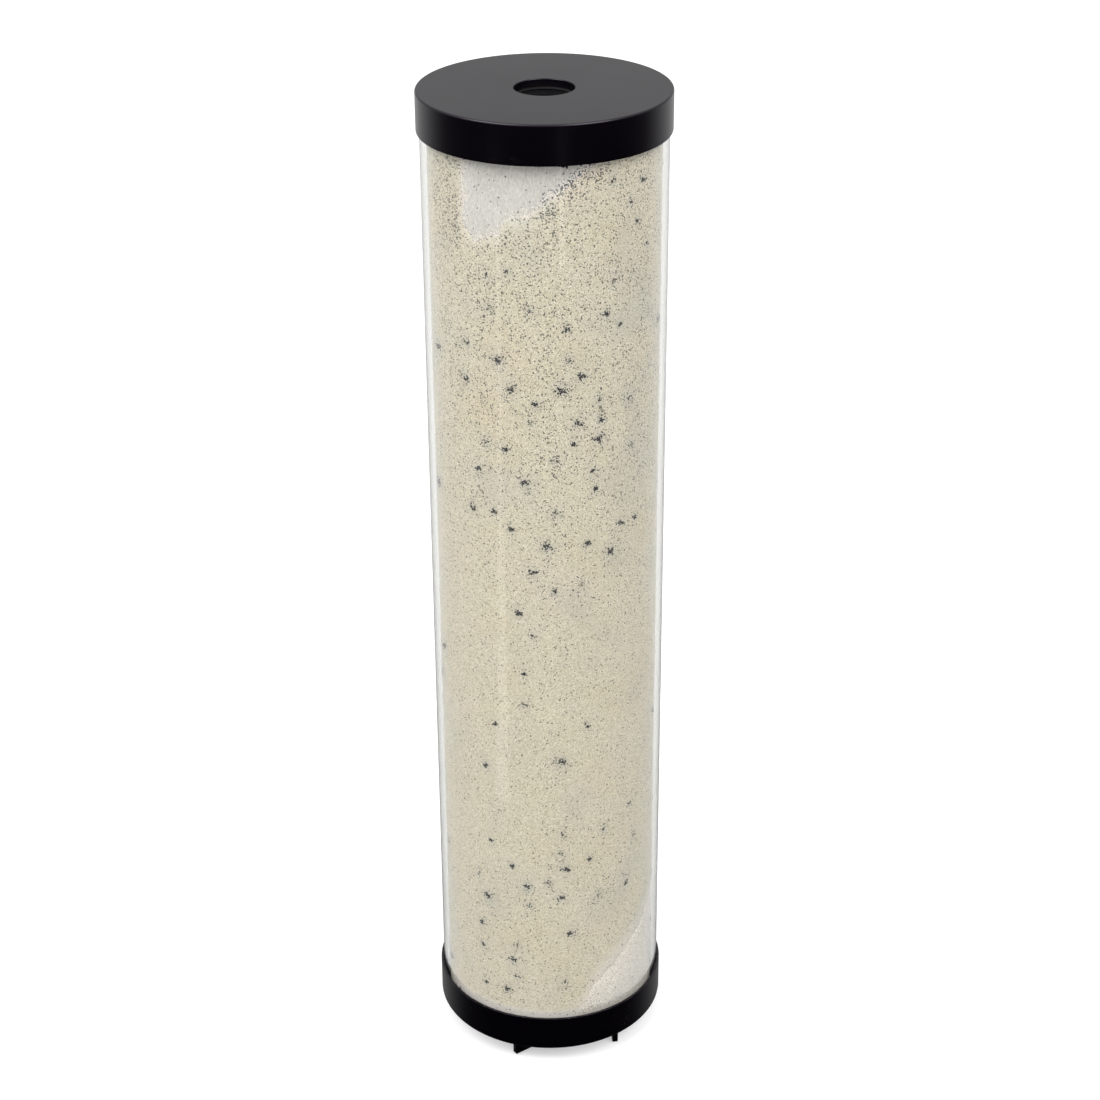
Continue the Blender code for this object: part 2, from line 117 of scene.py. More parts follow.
class Bench:
    """Edit-mode work on one piece, opened and closed by a with statement."""

    LEVEL_NORMAL = 0.99
    FEWEST_SIDES = 8

    def __init__(self, piece: bpy.types.Object) -> None:
        """Keep the piece that is worked on."""
        self.piece = piece

    def __enter__(self) -> Bench:
        """Select only this piece and open it in edit mode."""
        Bench.pick_only(self.piece)
        bpy.ops.object.mode_set(mode="EDIT")
        return self

    def __exit__(self, *_: object) -> None:
        """Go back to object mode."""
        bpy.ops.object.mode_set(mode="OBJECT")

    @staticmethod
    def clear() -> None:
        """Deselect every object."""
        bpy.ops.object.select_all(action="DESELECT")

    @staticmethod
    def pick_only(*pieces: bpy.types.Object) -> None:
        """Select these pieces and make the first one active."""
        Bench.clear()
        for piece in pieces:
            piece.select_set(True)
        bpy.context.view_layer.objects.active = pieces[0]

    def pick(self, kind: str, test: Callable[[object], bool]) -> None:
        """Select the elements of one kind that pass a test, and only those.

        Args:
            kind: FACE, EDGE or VERT.
            test: Tells whether an element is selected.
        """
        bpy.ops.mesh.select_mode(type=kind)
        bpy.ops.mesh.select_all(action="DESELECT")
        work = bmesh.from_edit_mesh(self.piece.data)
        for element in {"FACE": work.faces, "EDGE": work.edges, "VERT": work.verts}[kind]:
            if test(element):
                element.select_set(True)
        if kind == "VERT":
            work.select_flush_mode()
        bmesh.update_edit_mesh(self.piece.data)

    def pick_faces(self, test: Callable[[bmesh.types.BMFace], bool]) -> None:
        """Select the faces that pass a test, and only those."""
        self.pick("FACE", test)

    def pick_edges(self, test: Callable[[bmesh.types.BMEdge], bool]) -> None:
        """Select the edges that pass a test, and only those."""
        self.pick("EDGE", test)

    def pick_points(self, test: Callable[[Vector], bool]) -> None:
        """Select the points that pass a test, and only those."""
        self.pick("VERT", lambda vertex: test(vertex.co))

    def pick_all(self) -> None:
        """Select the whole mesh."""
        bpy.ops.mesh.select_all(action="SELECT")

    def pick_flat_face(self, level: float, up: bool) -> None:
        """Select the widest horizontal face at a level that faces up or down."""
        sign = 1.0 if up else -1.0

        def fits(face: bmesh.types.BMFace) -> bool:
            """Tell whether a face is flat, at the level and the right way up."""
            at_level = abs(face.calc_center_median().z - level) < FINE
            level_face = face.normal.z * sign > self.LEVEL_NORMAL
            return at_level and level_face and len(face.verts) > self.FEWEST_SIDES

        self.pick_faces(fits)

    def pick_ring(self, radius: float, level: float) -> None:
        """Select the ring of edges at a radius and a level."""

        def fits(edge: bmesh.types.BMEdge) -> bool:
            """Tell whether both ends lie on the ring."""
            return all(on_ring(v.co, radius, level) for v in edge.verts)

        self.pick_edges(fits)

    def step_in(self, radius_from: float, radius_to: float, rise: float) -> None:
        """Inset the selected round face to a smaller radius and move it along Z.

        Args:
            radius_from: Radius of the selected face.
            radius_to: Radius of the inset face.
            rise: How far the inset face is extruded along Z; negative is down.
        """
        bpy.ops.mesh.inset(thickness=radius_from - radius_to, depth=0.0)
        if rise:
            bpy.ops.mesh.extrude_region_move(TRANSFORM_OT_translate={"value": (0.0, 0.0, rise)})

    def bevel(self, width: float, segments: int) -> None:
        """Round the selected edges."""
        bpy.ops.mesh.bevel(
            offset=width, offset_type="OFFSET", segments=segments, profile=0.5, affect="EDGES"
        )

    def round_ring(self, radius: float, level: float, width: float, segments: int) -> None:
        """Round the ring of edges at a radius and a level."""
        self.pick_ring(radius, level)
        self.bevel(width, segments)

    def tidy_normals(self) -> None:
        """Merge doubles and turn every face outwards."""
        self.pick_all()
        bpy.ops.mesh.remove_doubles(threshold=FINE / 10)
        bpy.ops.mesh.normals_make_consistent(inside=False)


def on_ring(point: Vector, radius: float, level: float) -> bool:
    """Tell whether a point lies on a ring about the axis."""
    return abs(point.xy.length - radius) < RING_TOLERANCE and abs(point.z - level) < RING_TOLERANCE


def new_cylinder(
    name: str, radius: float, low: float, high: float, segments: int = ROUND_SEGMENTS
) -> bpy.types.Object:
    """Add an upright cylinder on the axis.

    Args:
        name: Name of the piece.
        radius: Radius.
        low: Level of the lower face.
        high: Level of the upper face.
        segments: Number of sides.

    Returns:
        The new piece, with its place in its mesh.
    """
    Bench.clear()
    bpy.ops.mesh.primitive_cylinder_add(
        vertices=segments, radius=radius, depth=high - low, location=(0.0, 0.0, (low + high) / 2)
    )
    return settle(bpy.context.object, name)


def settle(piece: bpy.types.Object, name: str) -> bpy.types.Object:
    """Name a piece and move its place, turn and size into its mesh."""
    piece.name = name
    piece.data.name = name
    Bench.pick_only(piece)
    bpy.ops.object.transform_apply(location=True, rotation=True, scale=True)
    return piece


def apply_modifier(piece: bpy.types.Object, kind: str, **settings: object) -> None:
    """Add a modifier, set it and apply it.

    Args:
        piece: The piece that is changed.
        kind: Blender's name for the kind of modifier.
        **settings: Values of the modifier's properties.
    """
    Bench.pick_only(piece)
    modifier = piece.modifiers.new(kind.lower(), kind)
    for key, value in settings.items():
        setattr(modifier, key, value)
    bpy.ops.object.modifier_apply(modifier=modifier.name)


def smooth_by_angle(piece: bpy.types.Object, degrees: float = 35.0) -> None:
    """Shade a piece smooth, with sharp edges above an angle."""
    Bench.pick_only(piece)
    bpy.ops.object.shade_smooth_by_angle(angle=math.radians(degrees))


def smooth_with_flats(piece: bpy.types.Object, degrees: float = 35.0) -> None:
    """Shade a piece smooth, with its broad faces kept flat right up to their rounded edges."""
    smooth_by_angle(piece, degrees)
    apply_modifier(piece, "WEIGHTED_NORMAL", keep_sharp=True, weight=50)


def join_pieces(name: str, pieces: Sequence[bpy.types.Object]) -> bpy.types.Object:
    """Join pieces into the first one and name the result."""
    Bench.pick_only(*pieces)
    if len(pieces) > 1:
        bpy.ops.object.join()
    return settle(bpy.context.view_layer.objects.active, name)


def finish_piece(
    piece: bpy.types.Object, body: Body, slot: Slot, material: bpy.types.Material, *nodes: str
) -> None:
    """Give a piece its material, its body and the CAD nodes that it stands for."""
    piece.data.materials.clear()
    piece.data.materials.append(material)
    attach(piece, body.value)
    if nodes:
        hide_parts(*nodes)
    LOG.info("%s: %d faces on %s", piece.name, len(piece.data.polygons), body.value)


# ---------------------------------------------------------------------------------------------------
# Finishes
# ---------------------------------------------------------------------------------------------------


class Wiring:
    """A node tree, with short calls for the nodes that materials and surroundings share."""

    def __init__(self, owner: bpy.types.Material | bpy.types.World) -> None:
        """Empty the node tree of a material or a world and give it its coordinates."""
        self.owner = owner
        owner.use_nodes = True
        self.tree = owner.node_tree
        self.tree.nodes.clear()
        self.coordinates = self.add("ShaderNodeTexCoord")

    def add(self, kind: str, **settings: object) -> bpy.types.Node:
        """Add a node and set its properties."""
        node = self.tree.nodes.new(kind)
        for key, value in settings.items():
            setattr(node, key, value)
        return node

    def link(self, source: bpy.types.NodeSocket, target: bpy.types.NodeSocket) -> None:
        """Join an output to an input."""
        self.tree.links.new(source, target)

    def feed(self, target: bpy.types.NodeSocket, value: object) -> None:
        """Link an output to an input, or set a plain value on it."""
        if isinstance(value, bpy.types.NodeSocket):
            self.link(value, target)
        elif isinstance(value, tuple) and len(value) == 3 and target.type == "RGBA":
            target.default_value = (*value, 1.0)
        else:
            target.default_value = value

    def share(self, value: bpy.types.NodeSocket, low: float, high: float) -> bpy.types.NodeSocket:
        """Share from 0 to 1 of the way from low to high."""
        node = self.add("ShaderNodeMapRange")
        node.inputs["From Min"].default_value = low
        node.inputs["From Max"].default_value = high
        self.link(value, node.inputs["Value"])
        return node.outputs[0]

    def ramp(
        self, value: bpy.types.NodeSocket, stops: Sequence[tuple[float, float | Colour]]
    ) -> bpy.types.NodeSocket:
        """Map a value through stops, each a place from 0 to 1 and a grey level or a colour."""
        node = self.add("ShaderNodeValToRGB")
        ramp = node.color_ramp
        while len(ramp.elements) < len(stops):
            ramp.elements.new(0.5)
        for element, (at, level) in zip(ramp.elements, stops):
            element.position = at
            element.color = (*level, 1.0) if isinstance(level, tuple) else (level, level, level, 1.0)
        self.link(value, node.inputs["Fac"])
        return node.outputs["Color"]

    def maths(self, operation: str, a: object, b: object = 0.0) -> bpy.types.NodeSocket:
        """A maths node on two values."""
        node = self.add("ShaderNodeMath", operation=operation)
        self.feed(node.inputs[0], a)
        self.feed(node.inputs[1], b)
        return node.outputs[0]

    def blend(self, share: object, a: object, b: object, mode: str = "MIX") -> bpy.types.NodeSocket:
        """Mix two colours."""
        node = self.add("ShaderNodeMix", data_type="RGBA", blend_type=mode)
        self.feed(node.inputs[0], share)
        self.feed(node.inputs[6], a)
        self.feed(node.inputs[7], b)
        return node.outputs[2]


class Graph(Wiring):
    """One material's node tree, with the patterns that the finishes are made of."""

    def __init__(self, name: str) -> None:
        """Start an empty material with an output."""
        super().__init__(bpy.data.materials.new(name))
        self.output = self.add("ShaderNodeOutputMaterial")
        self.place = self.coordinates.outputs["Object"]

    def mapped(
        self, scale: Sequence[float], shift: Sequence[float] = (0.0, 0.0, 0.0)
    ) -> bpy.types.NodeSocket:
        """Object coordinates, stretched and shifted."""
        mapping = self.add("ShaderNodeMapping")
        mapping.inputs["Scale"].default_value = scale
        mapping.inputs["Location"].default_value = shift
        self.link(self.place, mapping.inputs["Vector"])
        return mapping.outputs["Vector"]

    def noise(
        self, scale: float, detail: float = 3.0, roughness: float = 0.5, vector: object = None
    ) -> bpy.types.NodeSocket:
        """Noise from 0 to 1 at a scale in cycles per metre."""
        node = self.add("ShaderNodeTexNoise")
        node.inputs["Scale"].default_value = scale
        node.inputs["Detail"].default_value = detail
        node.inputs["Roughness"].default_value = roughness
        self.link(vector or self.place, node.inputs["Vector"])
        return node.outputs["Fac"]

    def cells(self, size: float, feature: str = "F1") -> bpy.types.Node:
        """Voronoi cells of a size in metres."""
        node = self.add("ShaderNodeTexVoronoi", feature=feature)
        node.inputs["Scale"].default_value = 1.0 / size
        self.link(self.place, node.inputs["Vector"])
        return node

    def grey(self, colour: bpy.types.NodeSocket, channel: str = "Red") -> bpy.types.NodeSocket:
        """One channel of a colour."""
        split = self.add("ShaderNodeSeparateColor")
        self.link(colour, split.inputs["Color"])
        return split.outputs[channel]

    def painted(self, name: str) -> bpy.types.NodeSocket:
        """A value painted on the mesh's points."""
        return self.add("ShaderNodeAttribute", attribute_name=name).outputs["Fac"]

    def times(self, value: bpy.types.NodeSocket, factor: object) -> bpy.types.NodeSocket:
        """A value times a factor."""
        return self.maths("MULTIPLY", value, factor)

    def bump(
        self, height: bpy.types.NodeSocket, depth: float, before: bpy.types.NodeSocket | None = None
    ) -> bpy.types.NodeSocket:
        """Turn a height from 0 to 1 into a normal, with a depth in metres."""
        node = self.add("ShaderNodeBump")
        node.inputs["Distance"].default_value = depth
        node.inputs["Strength"].default_value = 1.0
        self.link(height, node.inputs["Height"])
        if before is not None:
            self.link(before, node.inputs["Normal"])
        return node.outputs["Normal"]

    def surface(self, **values: object) -> bpy.types.Node:
        """A Principled shader; each keyword is a socket's name with _ for a space."""
        shader = self.add("ShaderNodeBsdfPrincipled")
        for key, value in values.items():
            self.feed(shader.inputs[key.replace("_", " ")], value)
        return shader

    def close(self, shader: bpy.types.Node) -> bpy.types.Material:
        """Link the shader to the output and return the material."""
        self.link(shader.outputs[0], self.output.inputs["Surface"])
        return self.owner

    def dress(self, **values: object) -> bpy.types.Material:
        """Close the material with a Principled shader of these values."""
        return self.close(self.surface(**values))


@dataclass(frozen=True)
class ClearPlasticFinish:
    """Extruded clear plastic, with faint draw lines, that lets lamps light what it holds."""

    tint: Colour = (0.975, 0.98, 0.97)
    ior: float = 1.49
    draw_line_depth: float = 0.0000015
    depth_tint: Colour = (0.80, 0.795, 0.775)
    density: float = 135.0

    def make(self) -> bpy.types.Material:
        """Build the material."""
        graph = Graph("clear_plastic_finish")
        lines = graph.noise(260.0, 2.0, vector=graph.mapped((1.0, 1.0, 0.02)))
        haze = graph.ramp(graph.noise(18.0, 4.0), [(0.35, 0.015), (0.8, 0.05)])
        shader = graph.surface(
            Base_Color=self.tint,
            Roughness=haze,
            IOR=self.ior,
            Transmission_Weight=1.0,
            Normal=graph.bump(lines, self.draw_line_depth),
        )
        lamp_light = graph.add("ShaderNodeBsdfTransparent")
        lamp_light.inputs["Color"].default_value = (*self.tint, 1.0)
        choose = graph.add("ShaderNodeMixShader")
        graph.link(graph.add("ShaderNodeLightPath").outputs["Is Shadow Ray"], choose.inputs[0])
        graph.link(shader.outputs[0], choose.inputs[1])
        graph.link(lamp_light.outputs[0], choose.inputs[2])
        depth = graph.add("ShaderNodeVolumeAbsorption")
        depth.inputs["Color"].default_value = (*self.depth_tint, 1.0)
        depth.inputs["Density"].default_value = self.density
        graph.link(depth.outputs[0], graph.output.inputs["Volume"])
        return graph.close(choose)


@dataclass(frozen=True)
class BlackPlasticFinish:
    """Black moulded plastic with a fine skin, faint flow marks and light handling scuffs."""

    colour: Colour = (0.0004, 0.0001, 0.0009)
    scuffed: Colour = (0.008, 0.0075, 0.009)
    sheen_tint: Colour = (0.95, 0.85, 1.0)
    ior: float = 1.45
    skin_depth: float = 0.000006
    scuff_share: float = 0.5
    scuff_roughness: float = 0.08

    def make(self) -> bpy.types.Material:
        """Build the material."""
        graph = Graph("black_plastic_finish")
        flow = graph.noise(14.0, 4.0, 0.6)
        scratch_field = graph.noise(420.0, 2.0, 0.6, graph.mapped((0.06, 1.0, 0.5), (0.013, 0.0, 0.0)))
        scratches = graph.ramp(scratch_field, [(0.66, 0.0), (0.74, 1.0)])
        where = graph.ramp(graph.noise(30.0, 2.0), [(0.5, 0.0), (0.7, 1.0)])
        scuffs = graph.times(scratches, where)
        colour = graph.blend(graph.times(scuffs, self.scuff_share), self.colour, self.scuffed)
        roughness = graph.ramp(flow, [(0.3, 0.22), (0.7, 0.28)])
        roughness = graph.maths("ADD", roughness, graph.times(scuffs, self.scuff_roughness))
        skin = graph.bump(graph.noise(1500.0, 2.0), self.skin_depth)
        return graph.dress(
            Base_Color=colour, Roughness=roughness, IOR=self.ior, Specular_Tint=self.sheen_tint, Normal=skin
        )


@dataclass(frozen=True)
class ResinFinish:
    """Packed ion-exchange beads: cream, straw and amber grains with dark fines and grey-blue stains.

    The bed's points carry three painted values: fines, how many dark grains there are; stain, the
    grey-blue haze round a cluster; and pale, where the fleece shows through a thin layer of beads.
    """

    bead_size: float = 0.00056
    pale_bead: Colour = (0.83, 0.775, 0.65)
    cream_bead: Colour = (0.70, 0.642, 0.507)
    straw_bead: Colour = (0.50, 0.425, 0.285)
    shadow: Colour = (0.28, 0.25, 0.195)
    dark_grain: Colour = (0.1, 0.092, 0.082)
    stain: Colour = (0.37, 0.375, 0.365)
    warm: Colour = (0.70, 0.59, 0.395)
    rosy: Colour = (0.76, 0.655, 0.545)
    cool: Colour = (0.56, 0.60, 0.535)
    fleece_pale: Colour = (0.80, 0.765, 0.76)
    shadow_share: float = 0.55
    stain_share: float = 0.55
    fleece_share: float = 0.85
    dark_density: float = 0.36
    bead_height: float = 0.35
    lump_depth: float = 0.00012
    roughness: float = 0.62
    ior: float = 1.4

    def make(self) -> bpy.types.Material:
        """Build the material."""
        graph = Graph("resin_bead_finish")
        beads = graph.cells(self.bead_size)
        chance = graph.grey(beads.outputs["Color"])
        second = graph.grey(beads.outputs["Color"], "Green")
        stops = [
            (0.0, self.straw_bead),
            (0.22, self.cream_bead),
            (0.7, self.cream_bead),
            (0.95, self.pale_bead),
        ]
        colour = self.shade_patches(graph, graph.ramp(chance, stops))
        edge = graph.ramp(beads.outputs["Distance"], [(0.3, 0.0), (0.75, 1.0)])
        colour = graph.blend(graph.times(edge, self.shadow_share), colour, self.shadow)
        colour = graph.blend(graph.times(graph.painted("stain"), self.stain_share), colour, self.stain)
        colour = graph.blend(graph.times(graph.painted("pale"), self.fleece_share), colour, self.fleece_pale)
        colour = graph.blend(self.dark_share(graph, second), colour, self.dark_grain)
        dome = graph.ramp(beads.outputs["Distance"], [(0.0, 1.0), (0.45, 0.75), (0.8, 0.0)])
        lumps = graph.bump(graph.noise(500.0, 3.0), self.lump_depth)
        normal = graph.bump(dome, self.bead_size * self.bead_height, lumps)
        return graph.dress(Base_Color=colour, Roughness=self.roughness, IOR=self.ior, Normal=normal)

    def shade_patches(self, graph: Graph, colour: bpy.types.NodeSocket) -> bpy.types.NodeSocket:
        """Tint broad patches of the bed rosy, warmer or cooler.

        Args:
            graph: The material's graph.
            colour: Colour of the beads.

        Returns:
            The tinted colour.
        """
        broad = graph.noise(26.0, 3.0, 0.55)
        warm = graph.ramp(broad, [(0.52, 0.0), (0.72, 0.34)])
        cool = graph.ramp(broad, [(0.28, 0.3), (0.46, 0.0)])
        elsewhere = graph.mapped((1.0, 1.0, 1.0), (0.3, 0.1, 0.7))
        rosy = graph.ramp(graph.noise(34.0, 3.0, 0.5, elsewhere), [(0.48, 0.0), (0.7, 0.4)])
        colour = graph.blend(rosy, colour, self.rosy)
        colour = graph.blend(warm, colour, self.warm)
        return graph.blend(cool, colour, self.cool)

    def dark_share(self, graph: Graph, chance: bpy.types.NodeSocket) -> bpy.types.NodeSocket:
        """Decide which beads are dark grains.

        Args:
            graph: The material's graph.
            chance: A random value for each bead.

        Returns:
            1 on a dark grain and 0 elsewhere.
        """
        patchy = graph.ramp(graph.noise(90.0, 3.0, 0.6), [(0.3, 0.35), (0.7, 1.0)])
        density = graph.times(graph.painted("fines"), patchy)
        limit = graph.maths("SUBTRACT", 1.0, graph.times(density, self.dark_density))
        return graph.maths("GREATER_THAN", chance, limit)


@dataclass(frozen=True)
class DarkGranuleFinish:
    """Dark granules in the bed, from black to deep blue-grey."""

    colour: Colour = (0.003, 0.003, 0.004)
    lighter: Colour = (0.028, 0.03, 0.036)
    roughness: float = 0.5
    shine: float = 0.2
    skin_depth: float = 0.00004

    def make(self) -> bpy.types.Material:
        """Build the material."""
        graph = Graph("dark_granule_finish")
        tone = graph.ramp(graph.noise(900.0, 2.0), [(0.35, self.colour), (0.75, self.lighter)])
        skin = graph.bump(graph.noise(4000.0, 2.0), self.skin_depth)
        return graph.dress(
            Base_Color=tone, Roughness=self.roughness, Specular_IOR_Level=self.shine, Normal=skin
        )


@dataclass(frozen=True)
class FleeceFinish:
    """White needled fleece: matted fibres with painted shade in their low spots, and beads and dark fines
    caught in it near its edges.
    """

    white: Colour = (0.66, 0.63, 0.61)
    # hollow: painted shade for the felt's low spots, not a colour of the fibres
    hollow: Colour = (0.46, 0.44, 0.42)
    bead: Colour = (0.86, 0.80, 0.74)
    bead_shade: Colour = (0.42, 0.38, 0.34)
    grain: Colour = (0.06, 0.06, 0.07)
    fibre_size: float = 0.00045
    bead_size: float = 0.0006
    caught_limit: float = 1.02
    fines_share: float = 0.35
    fines_limit: float = 0.997
    fibre_share: float = 0.5
    felt_depth: float = 0.0001

    def make(self) -> bpy.types.Material:
        """Build the material."""
        graph = Graph("fleece_finish")
        matted = graph.noise(1400.0, 4.0, 0.65, graph.mapped((1.0, 1.0, 0.35)))
        fibres = graph.cells(self.fibre_size, "DISTANCE_TO_EDGE")
        # Painted shade: where the matted bump sits lowest, the felt takes the darker hollow colour
        colour = graph.blend(graph.ramp(matted, [(0.35, 0.0), (0.65, 1.0)]), self.hollow, self.white)
        broad = graph.ramp(graph.noise(70.0, 3.0), [(0.3, 0.93), (0.7, 1.0)])
        colour = graph.blend(1.0, colour, broad, "MULTIPLY")
        grains = graph.cells(self.bead_size)
        chance = graph.grey(grains.outputs["Color"])
        held = graph.maths("ADD", chance, graph.painted("caught"))
        round_edge = graph.ramp(grains.outputs["Distance"], [(0.3, 0.0), (0.75, 1.0)])
        bead = graph.blend(round_edge, self.bead, self.bead_shade)
        colour = graph.blend(graph.maths("GREATER_THAN", held, self.caught_limit), colour, bead)
        dark_chance = graph.grey(grains.outputs["Color"], "Blue")
        fines = graph.maths("ADD", dark_chance, graph.times(graph.painted("fines"), self.fines_share))
        colour = graph.blend(graph.maths("GREATER_THAN", fines, self.fines_limit), colour, self.grain)
        height = graph.maths("ADD", matted, graph.times(fibres.outputs["Distance"], self.fibre_share))
        normal = graph.bump(height, self.felt_depth)
        return graph.dress(Base_Color=colour, Roughness=0.85, Sheen_Weight=0.25, Normal=normal)


@dataclass(frozen=True)
class InnerPlasticFinish:
    """Natural off-white moulded plastic of the hidden plates."""

    colour: Colour = (0.46, 0.46, 0.44)
    shaded: Colour = (0.38, 0.38, 0.365)

    def make(self) -> bpy.types.Material:
        """Build the material."""
        graph = Graph("inner_plastic_finish")
        flow = graph.noise(45.0, 4.0, 0.6)
        colour = graph.ramp(flow, [(0.3, self.shaded), (0.7, self.colour)])
        roughness = graph.ramp(graph.noise(300.0, 2.0), [(0.3, 0.38), (0.7, 0.5)])
        skin = graph.bump(graph.noise(1800.0, 2.0), 0.00001)
        return graph.dress(Base_Color=colour, Roughness=roughness, Subsurface_Weight=0.08, Normal=skin)


@dataclass(frozen=True)
class FilterMeshFinish:
    """Fine woven mesh: threads over and under each other, with painted shade in the openings between them.
    """

    thread: Colour = (0.78, 0.78, 0.75)
    # Painted shade: dark colour of the openings between the threads
    opening_shade: Colour = (0.25, 0.25, 0.24)
    pitch: float = 0.0006

    def make(self) -> bpy.types.Material:
        """Build the material."""
        graph = Graph("filter_mesh_finish")
        split = graph.add("ShaderNodeSeparateXYZ")
        graph.link(graph.place, split.inputs[0])
        turns = math.tau / self.pitch
        warp, weft = (graph.maths("SINE", graph.times(split.outputs[axis], turns)) for axis in "XY")
        height = graph.maths("MAXIMUM", warp, weft)
        thread = graph.ramp(height, [(0.0, 0.0), (0.4, 1.0)])
        # Painted shade: the openings between the threads take the dark colour
        colour = graph.blend(thread, self.opening_shade, self.thread)
        wear = graph.ramp(graph.noise(60.0, 3.0), [(0.3, 0.55), (0.7, 0.7)])
        return graph.dress(Base_Color=colour, Roughness=wear, Normal=graph.bump(height, 0.00008))


@dataclass(frozen=True)
class RubberFinish:
    """Matt black seal rubber with a fine bloom."""

    colour: Colour = (0.0018, 0.0018, 0.002)
    bloom: Colour = (0.005, 0.005, 0.0053)
    shine: float = 0.22

    def make(self) -> bpy.types.Material:
        """Build the material."""
        graph = Graph("seal_rubber_finish")
        tone = graph.ramp(graph.noise(160.0, 4.0, 0.6), [(0.35, self.colour), (0.75, self.bloom)])
        roughness = graph.ramp(graph.noise(240.0, 2.0), [(0.3, 0.55), (0.7, 0.72)])
        skin = graph.bump(graph.noise(2600.0, 3.0), 0.000015)
        return graph.dress(
            Base_Color=tone, Roughness=roughness, Specular_IOR_Level=self.shine, Normal=skin
        )


@dataclass(frozen=True)
class SpringSteelFinish:
    """Bright drawn stainless wire."""

    colour: Colour = (0.60, 0.59, 0.57)
    dull: Colour = (0.42, 0.41, 0.39)

    def make(self) -> bpy.types.Material:
        """Build the material."""
        graph = Graph("spring_steel_finish")
        tone = graph.ramp(graph.noise(120.0, 4.0, 0.6), [(0.35, self.dull), (0.65, self.colour)])
        roughness = graph.ramp(graph.noise(500.0, 3.0), [(0.3, 0.2), (0.7, 0.34)])
        drawn = graph.bump(graph.noise(2400.0, 2.0, vector=graph.mapped((0.3, 0.3, 2.0))), 0.000006)
        return graph.dress(Base_Color=tone, Metallic=1.0, Roughness=roughness, Normal=drawn)


@dataclass(frozen=True)
class AdhesiveFinish:
    """Set black adhesive with a slightly uneven skin."""

    colour: Colour = (0.008, 0.008, 0.009)
    dusty: Colour = (0.03, 0.03, 0.03)
    shine: float = 0.22

    def make(self) -> bpy.types.Material:
        """Build the material."""
        graph = Graph("adhesive_finish")
        tone = graph.ramp(graph.noise(300.0, 4.0), [(0.4, self.colour), (0.8, self.dusty)])
        roughness = graph.ramp(graph.noise(200.0, 2.0), [(0.3, 0.3), (0.7, 0.5)])
        skin = graph.bump(graph.noise(700.0, 3.0), 0.00006)
        return graph.dress(
            Base_Color=tone, Roughness=roughness, Specular_IOR_Level=self.shine, Normal=skin
        )


@dataclass(frozen=True)
class StudioPaperFinish:
    """Plain pale paper of the studio floor."""

    colour: Colour = (0.62, 0.62, 0.62)
    worn: Colour = (0.615, 0.615, 0.615)
    light: Colour = (1.0, 1.0, 1.0)
    glow: float = 0.46

    def make(self) -> bpy.types.Material:
        """Build the material."""
        graph = Graph("studio_paper_finish")
        tone = graph.ramp(graph.noise(3.0, 2.0), [(0.3, self.worn), (0.7, self.colour)])
        return graph.dress(
            Base_Color=tone, Roughness=0.85, IOR=1.2, Emission_Color=self.light, Emission_Strength=self.glow
        )


@dataclass
class Finishes:
    """Every material of the cartridge, each made once."""

    clear: bpy.types.Material = field(default_factory=lambda: ClearPlasticFinish().make())
    black: bpy.types.Material = field(default_factory=lambda: BlackPlasticFinish().make())
    resin: bpy.types.Material = field(default_factory=lambda: ResinFinish().make())
    granule: bpy.types.Material = field(default_factory=lambda: DarkGranuleFinish().make())
    fleece: bpy.types.Material = field(default_factory=lambda: FleeceFinish().make())
    inner: bpy.types.Material = field(default_factory=lambda: InnerPlasticFinish().make())
    mesh: bpy.types.Material = field(default_factory=lambda: FilterMeshFinish().make())
    rubber: bpy.types.Material = field(default_factory=lambda: RubberFinish().make())
    steel: bpy.types.Material = field(default_factory=lambda: SpringSteelFinish().make())
    adhesive: bpy.types.Material = field(default_factory=lambda: AdhesiveFinish().make())
    paper: bpy.types.Material = field(default_factory=lambda: StudioPaperFinish().make())


# ---------------------------------------------------------------------------------------------------
# Caps and tube
# ---------------------------------------------------------------------------------------------------


